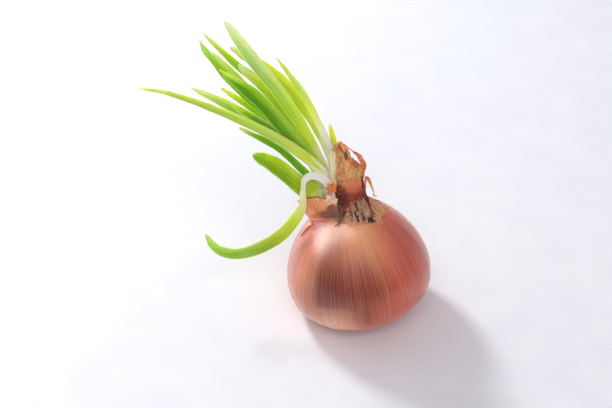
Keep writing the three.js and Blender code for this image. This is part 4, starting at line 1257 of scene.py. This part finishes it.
CUP_PAINTED_SHADE = [
    # All painted shade: the cup's lower right and middle below its fold, and the inner side of its rim.
    ((0.3, 0.15), (0.34, 0.3), PAINTED_SHADE_BROWN, 0.85), ((0.12, 0.5), (0.2, 0.4), PAINTED_SHADE_BROWN, 0.8),
    ((0.62, 1.0), (0.26, 0.07), RIM_SHADE_PURPLE, 0.75),
]

# Shades at places along t.
COLLAR_SHADES = [
    (-0.4, (244, 164, 110)), (-0.1, (236, 168, 118)), (0.2, (224, 174, 132)), (0.6, (206, 154, 114)),
    (1.0, (160, 104, 72)),
]
BAND_SHADES = [
    (0.0, (250, 168, 100)), (0.12, (238, 146, 84)), (0.28, (208, 108, 66)), (0.42, (146, 52, 36)),
    (0.6, (136, 40, 34)), (1.0, (150, 46, 38)),
]


def build_dry(name, node, slot, shape, *look, **more):
    """A piece of dry skin. look and more are what dry_finish takes."""
    build_piece(name, node, shape, dry_finish(*look, **more))


def build_leaf(name, slot, width, twist, white, pale, blade, tip, fade, shaded, widths, points):
    material = leaf_finish(f"leaf_{name}_green", white, pale, blade, tip, fade, shaded)
    shape = leaf_mesh(points, width, widths, twist)
    build_piece(f"leaf_{name}_blade", f"leaf_{name}", shape, material)


def build_onion():
    build_piece("bulb_skin", "bulb", bulb_mesh(), bulb_finish())
    build_piece("root_tuft", "root_plate", root_mesh(), root_finish())
    build_dry("collar_skin", "neck_collar", "dry_tan", collar_mesh(), "dry_tan", TANS, 0.75,
              (130, 2.2), 0.3, 0.0, COLLAR_MOULD_AND_SHADE, COLLAR_SHADES, dark=(96, 60, 40))
    build_dry("stalk_skin", "neck_stalk", "dry_orange", stalk_mesh(), "dry_orange", DRY_ORANGES, 0.6,
              (5, 3), 0.35, 0.5, speckle=(150, 72, 36), dark=(64, 24, 18))
    build_dry("band_skin", "neck_band", "dark_skin", band_mesh(), "dark_skin", DARK_REDS, 0.4,
              (9, 7), 0.2, 0.2, BAND_STAINS, BAND_SHADES, dark=(60, 14, 12), torn=0.1)
    for node, slot, *look in (
        ("neck_strand", "dark_skin", "dark_strand", STRAND_REDS, 0.45, (2, 12), 0.15),
        ("stalk_strip", "dry_orange", "orange_strip", STRIP_ORANGES, 0.5, (3, 14), 0.2, 0.3),
        ("loose_curl", "dry_tan", "tan_curl", CURL_TANS, 0.6, (3, 14), 0.2, 0.3),
    ):
        build_dry(f"{node}_skin", node, slot, strip_mesh(**STRIPS[node]), *look)
    build_dry("sheath_paper", "dry_sheath", "dry_cream", dry_sheath_mesh(), "cream_paper", CREAMS,
              0.55, (14, 1.5), 0.2, 0.5)
    for node, slot, shades in (
        ("orange_scrap", "dry_orange", SCRAP_ORANGES), ("pale_scrap", "dry_cream", PALE_TANS),
    ):
        build_dry(f"{node}_skin", node, slot, scrap_mesh(**SCRAPS[node]), f"{node}_dry", shades, 0.5,
                  (4, 4), 0.2, 0.35)
    build_dry("cup_skin", "skin_cup", "dry_orange", cup_mesh(), "cup_orange", CUP_ORANGES, 0.42,
              (24, 1.4), 0.25, 0.4, CUP_PAINTED_SHADE, torn=0.22)
    build_dry("tongue_skin", "skin_tongue", "bulb_skin", tongue_mesh(), "salmon_skin", SALMONS, 0.35,
              (9, 1), 0.12, 0.2)
    white = shoot_finish()
    for node, points in SHOOTS.items():
        build_piece(f"{node}_foot", node, shoot_mesh(points), white)
    for name, leaf in LEAVES.items():
        build_leaf(name, *leaf)


# The table, the light and the camera.

def build_stage():
    """A wide table, nearly white."""
    corners = [(a * TABLE_REACH, b * TABLE_REACH, 0) for a, b in ((-1, -1), (1, -1), (1, 1), (-1, 1))]
    mesh = bpy.data.meshes.new("table")
    mesh.from_pydata(corners, [], [(0, 1, 2, 3)])
    table = Finish("table_white", 0.5, Specular_IOR_Level=0.2)
    position = table.position()
    paper = table.noise(position, TABLE_GRAIN, 2)
    shade = table.ramp(paper, [(0.3, (238, 239, 243)), (0.7, (242, 243, 246))])
    mesh.materials.append(table.finish(shade, paper, 0.02))
    floor = add_object("table", mesh)


def area_light(name, heading, rise, distance, size, power, tint=(1.0, 1.0, 1.0), unseen=None):
    """A soft panel at a heading and rise in degrees from the onion, turned towards it. unseen names
    the kind of ray that it doesn't light."""
    rise = math.radians(rise)
    way = Vector(level_way(heading) * math.cos(rise) + math.sin(rise) * UP)
    data = bpy.data.lights.new(name, "AREA")
    data.shape = "RECTANGLE"
    data.size, data.size_y = size
    data.energy = power
    data.color = tint
    light = add_object(name, data)
    light.location = way * distance + Vector(LIGHT_TARGET)
    light.rotation_euler = way.to_track_quat("Z", "Y").to_euler()
    if unseen:
        setattr(light, unseen, False)


def build_light():
    """A bright ceiling over a room that is dark in front, and soft panels of light."""
    world = bpy.data.worlds.new("studio")
    room = Shading(world)
    _, back, rise = room.split(room.node("ShaderNodeTexCoord").outputs["Generated"])
    walls = room.ranged(back, -0.5, 0.15, ROOM_FRONT, ROOM_BACK)
    level = room.node("ShaderNodeMix", {"Factor": room.ranged(rise, 0.15, 0.75), "A": walls,
                                        "B": ROOM_CEILING})
    background = room.tree.nodes["Background"]
    room.set(background.inputs["Strength"], level.outputs[0])
    room.set(background.inputs["Color"], ROOM_TINT)
    bpy.context.scene.world = world
    bpy.context.scene.view_settings.view_transform = "Standard"
    area_light("key", 129, 37, 1.0, (0.2, 0.2), 6.9, (0.93, 0.99, 1.0))
    area_light("window", 160, 27, 1.7, (0.44, 0.62), 1.0)
    area_light("pane", 160, 33, 1.7, (1.5, 0.9), 54.0, unseen="visible_diffuse")
    area_light("skylight", 180, 72, 1.6, (1.0, 0.7), 14.0, unseen="visible_diffuse")
    area_light("fill", -86, 44, 2.3, (2.1, 1.4), 22.5, (1.0, 0.955, 0.99), "visible_glossy")


def build_camera():
    """The photograph's camera, placed so that the bulb's middle falls on its pixel."""
    elevation = math.radians(CAMERA_ELEVATION_DEGREES)
    forward = np.array([0, math.cos(elevation), -math.sin(elevation)])
    up = np.array([0, math.sin(elevation), math.cos(elevation)])
    distance = CAMERA_LENS / CAMERA_SENSOR * IMAGE_WIDTH / PIXELS_PER_MM
    across = (BULB_CENTRE_PIXEL[0] - IMAGE_WIDTH / 2) / PIXELS_PER_MM
    below = (BULB_CENTRE_PIXEL[1] - IMAGE_HEIGHT / 2) / PIXELS_PER_MM
    place = BULB_CENTRE - across * np.array([1, 0, 0]) + below * up - distance * forward
    data = bpy.data.cameras.new("view")
    data.lens = CAMERA_LENS
    data.sensor_width = CAMERA_SENSOR
    data.sensor_fit = "HORIZONTAL"
    camera = add_object("view", data)
    camera.location = place * MM
    camera.rotation_euler = (math.pi / 2 - elevation, 0, 0)
    bpy.context.scene.camera = camera


build_camera()
build_stage()
build_light()
build_onion()
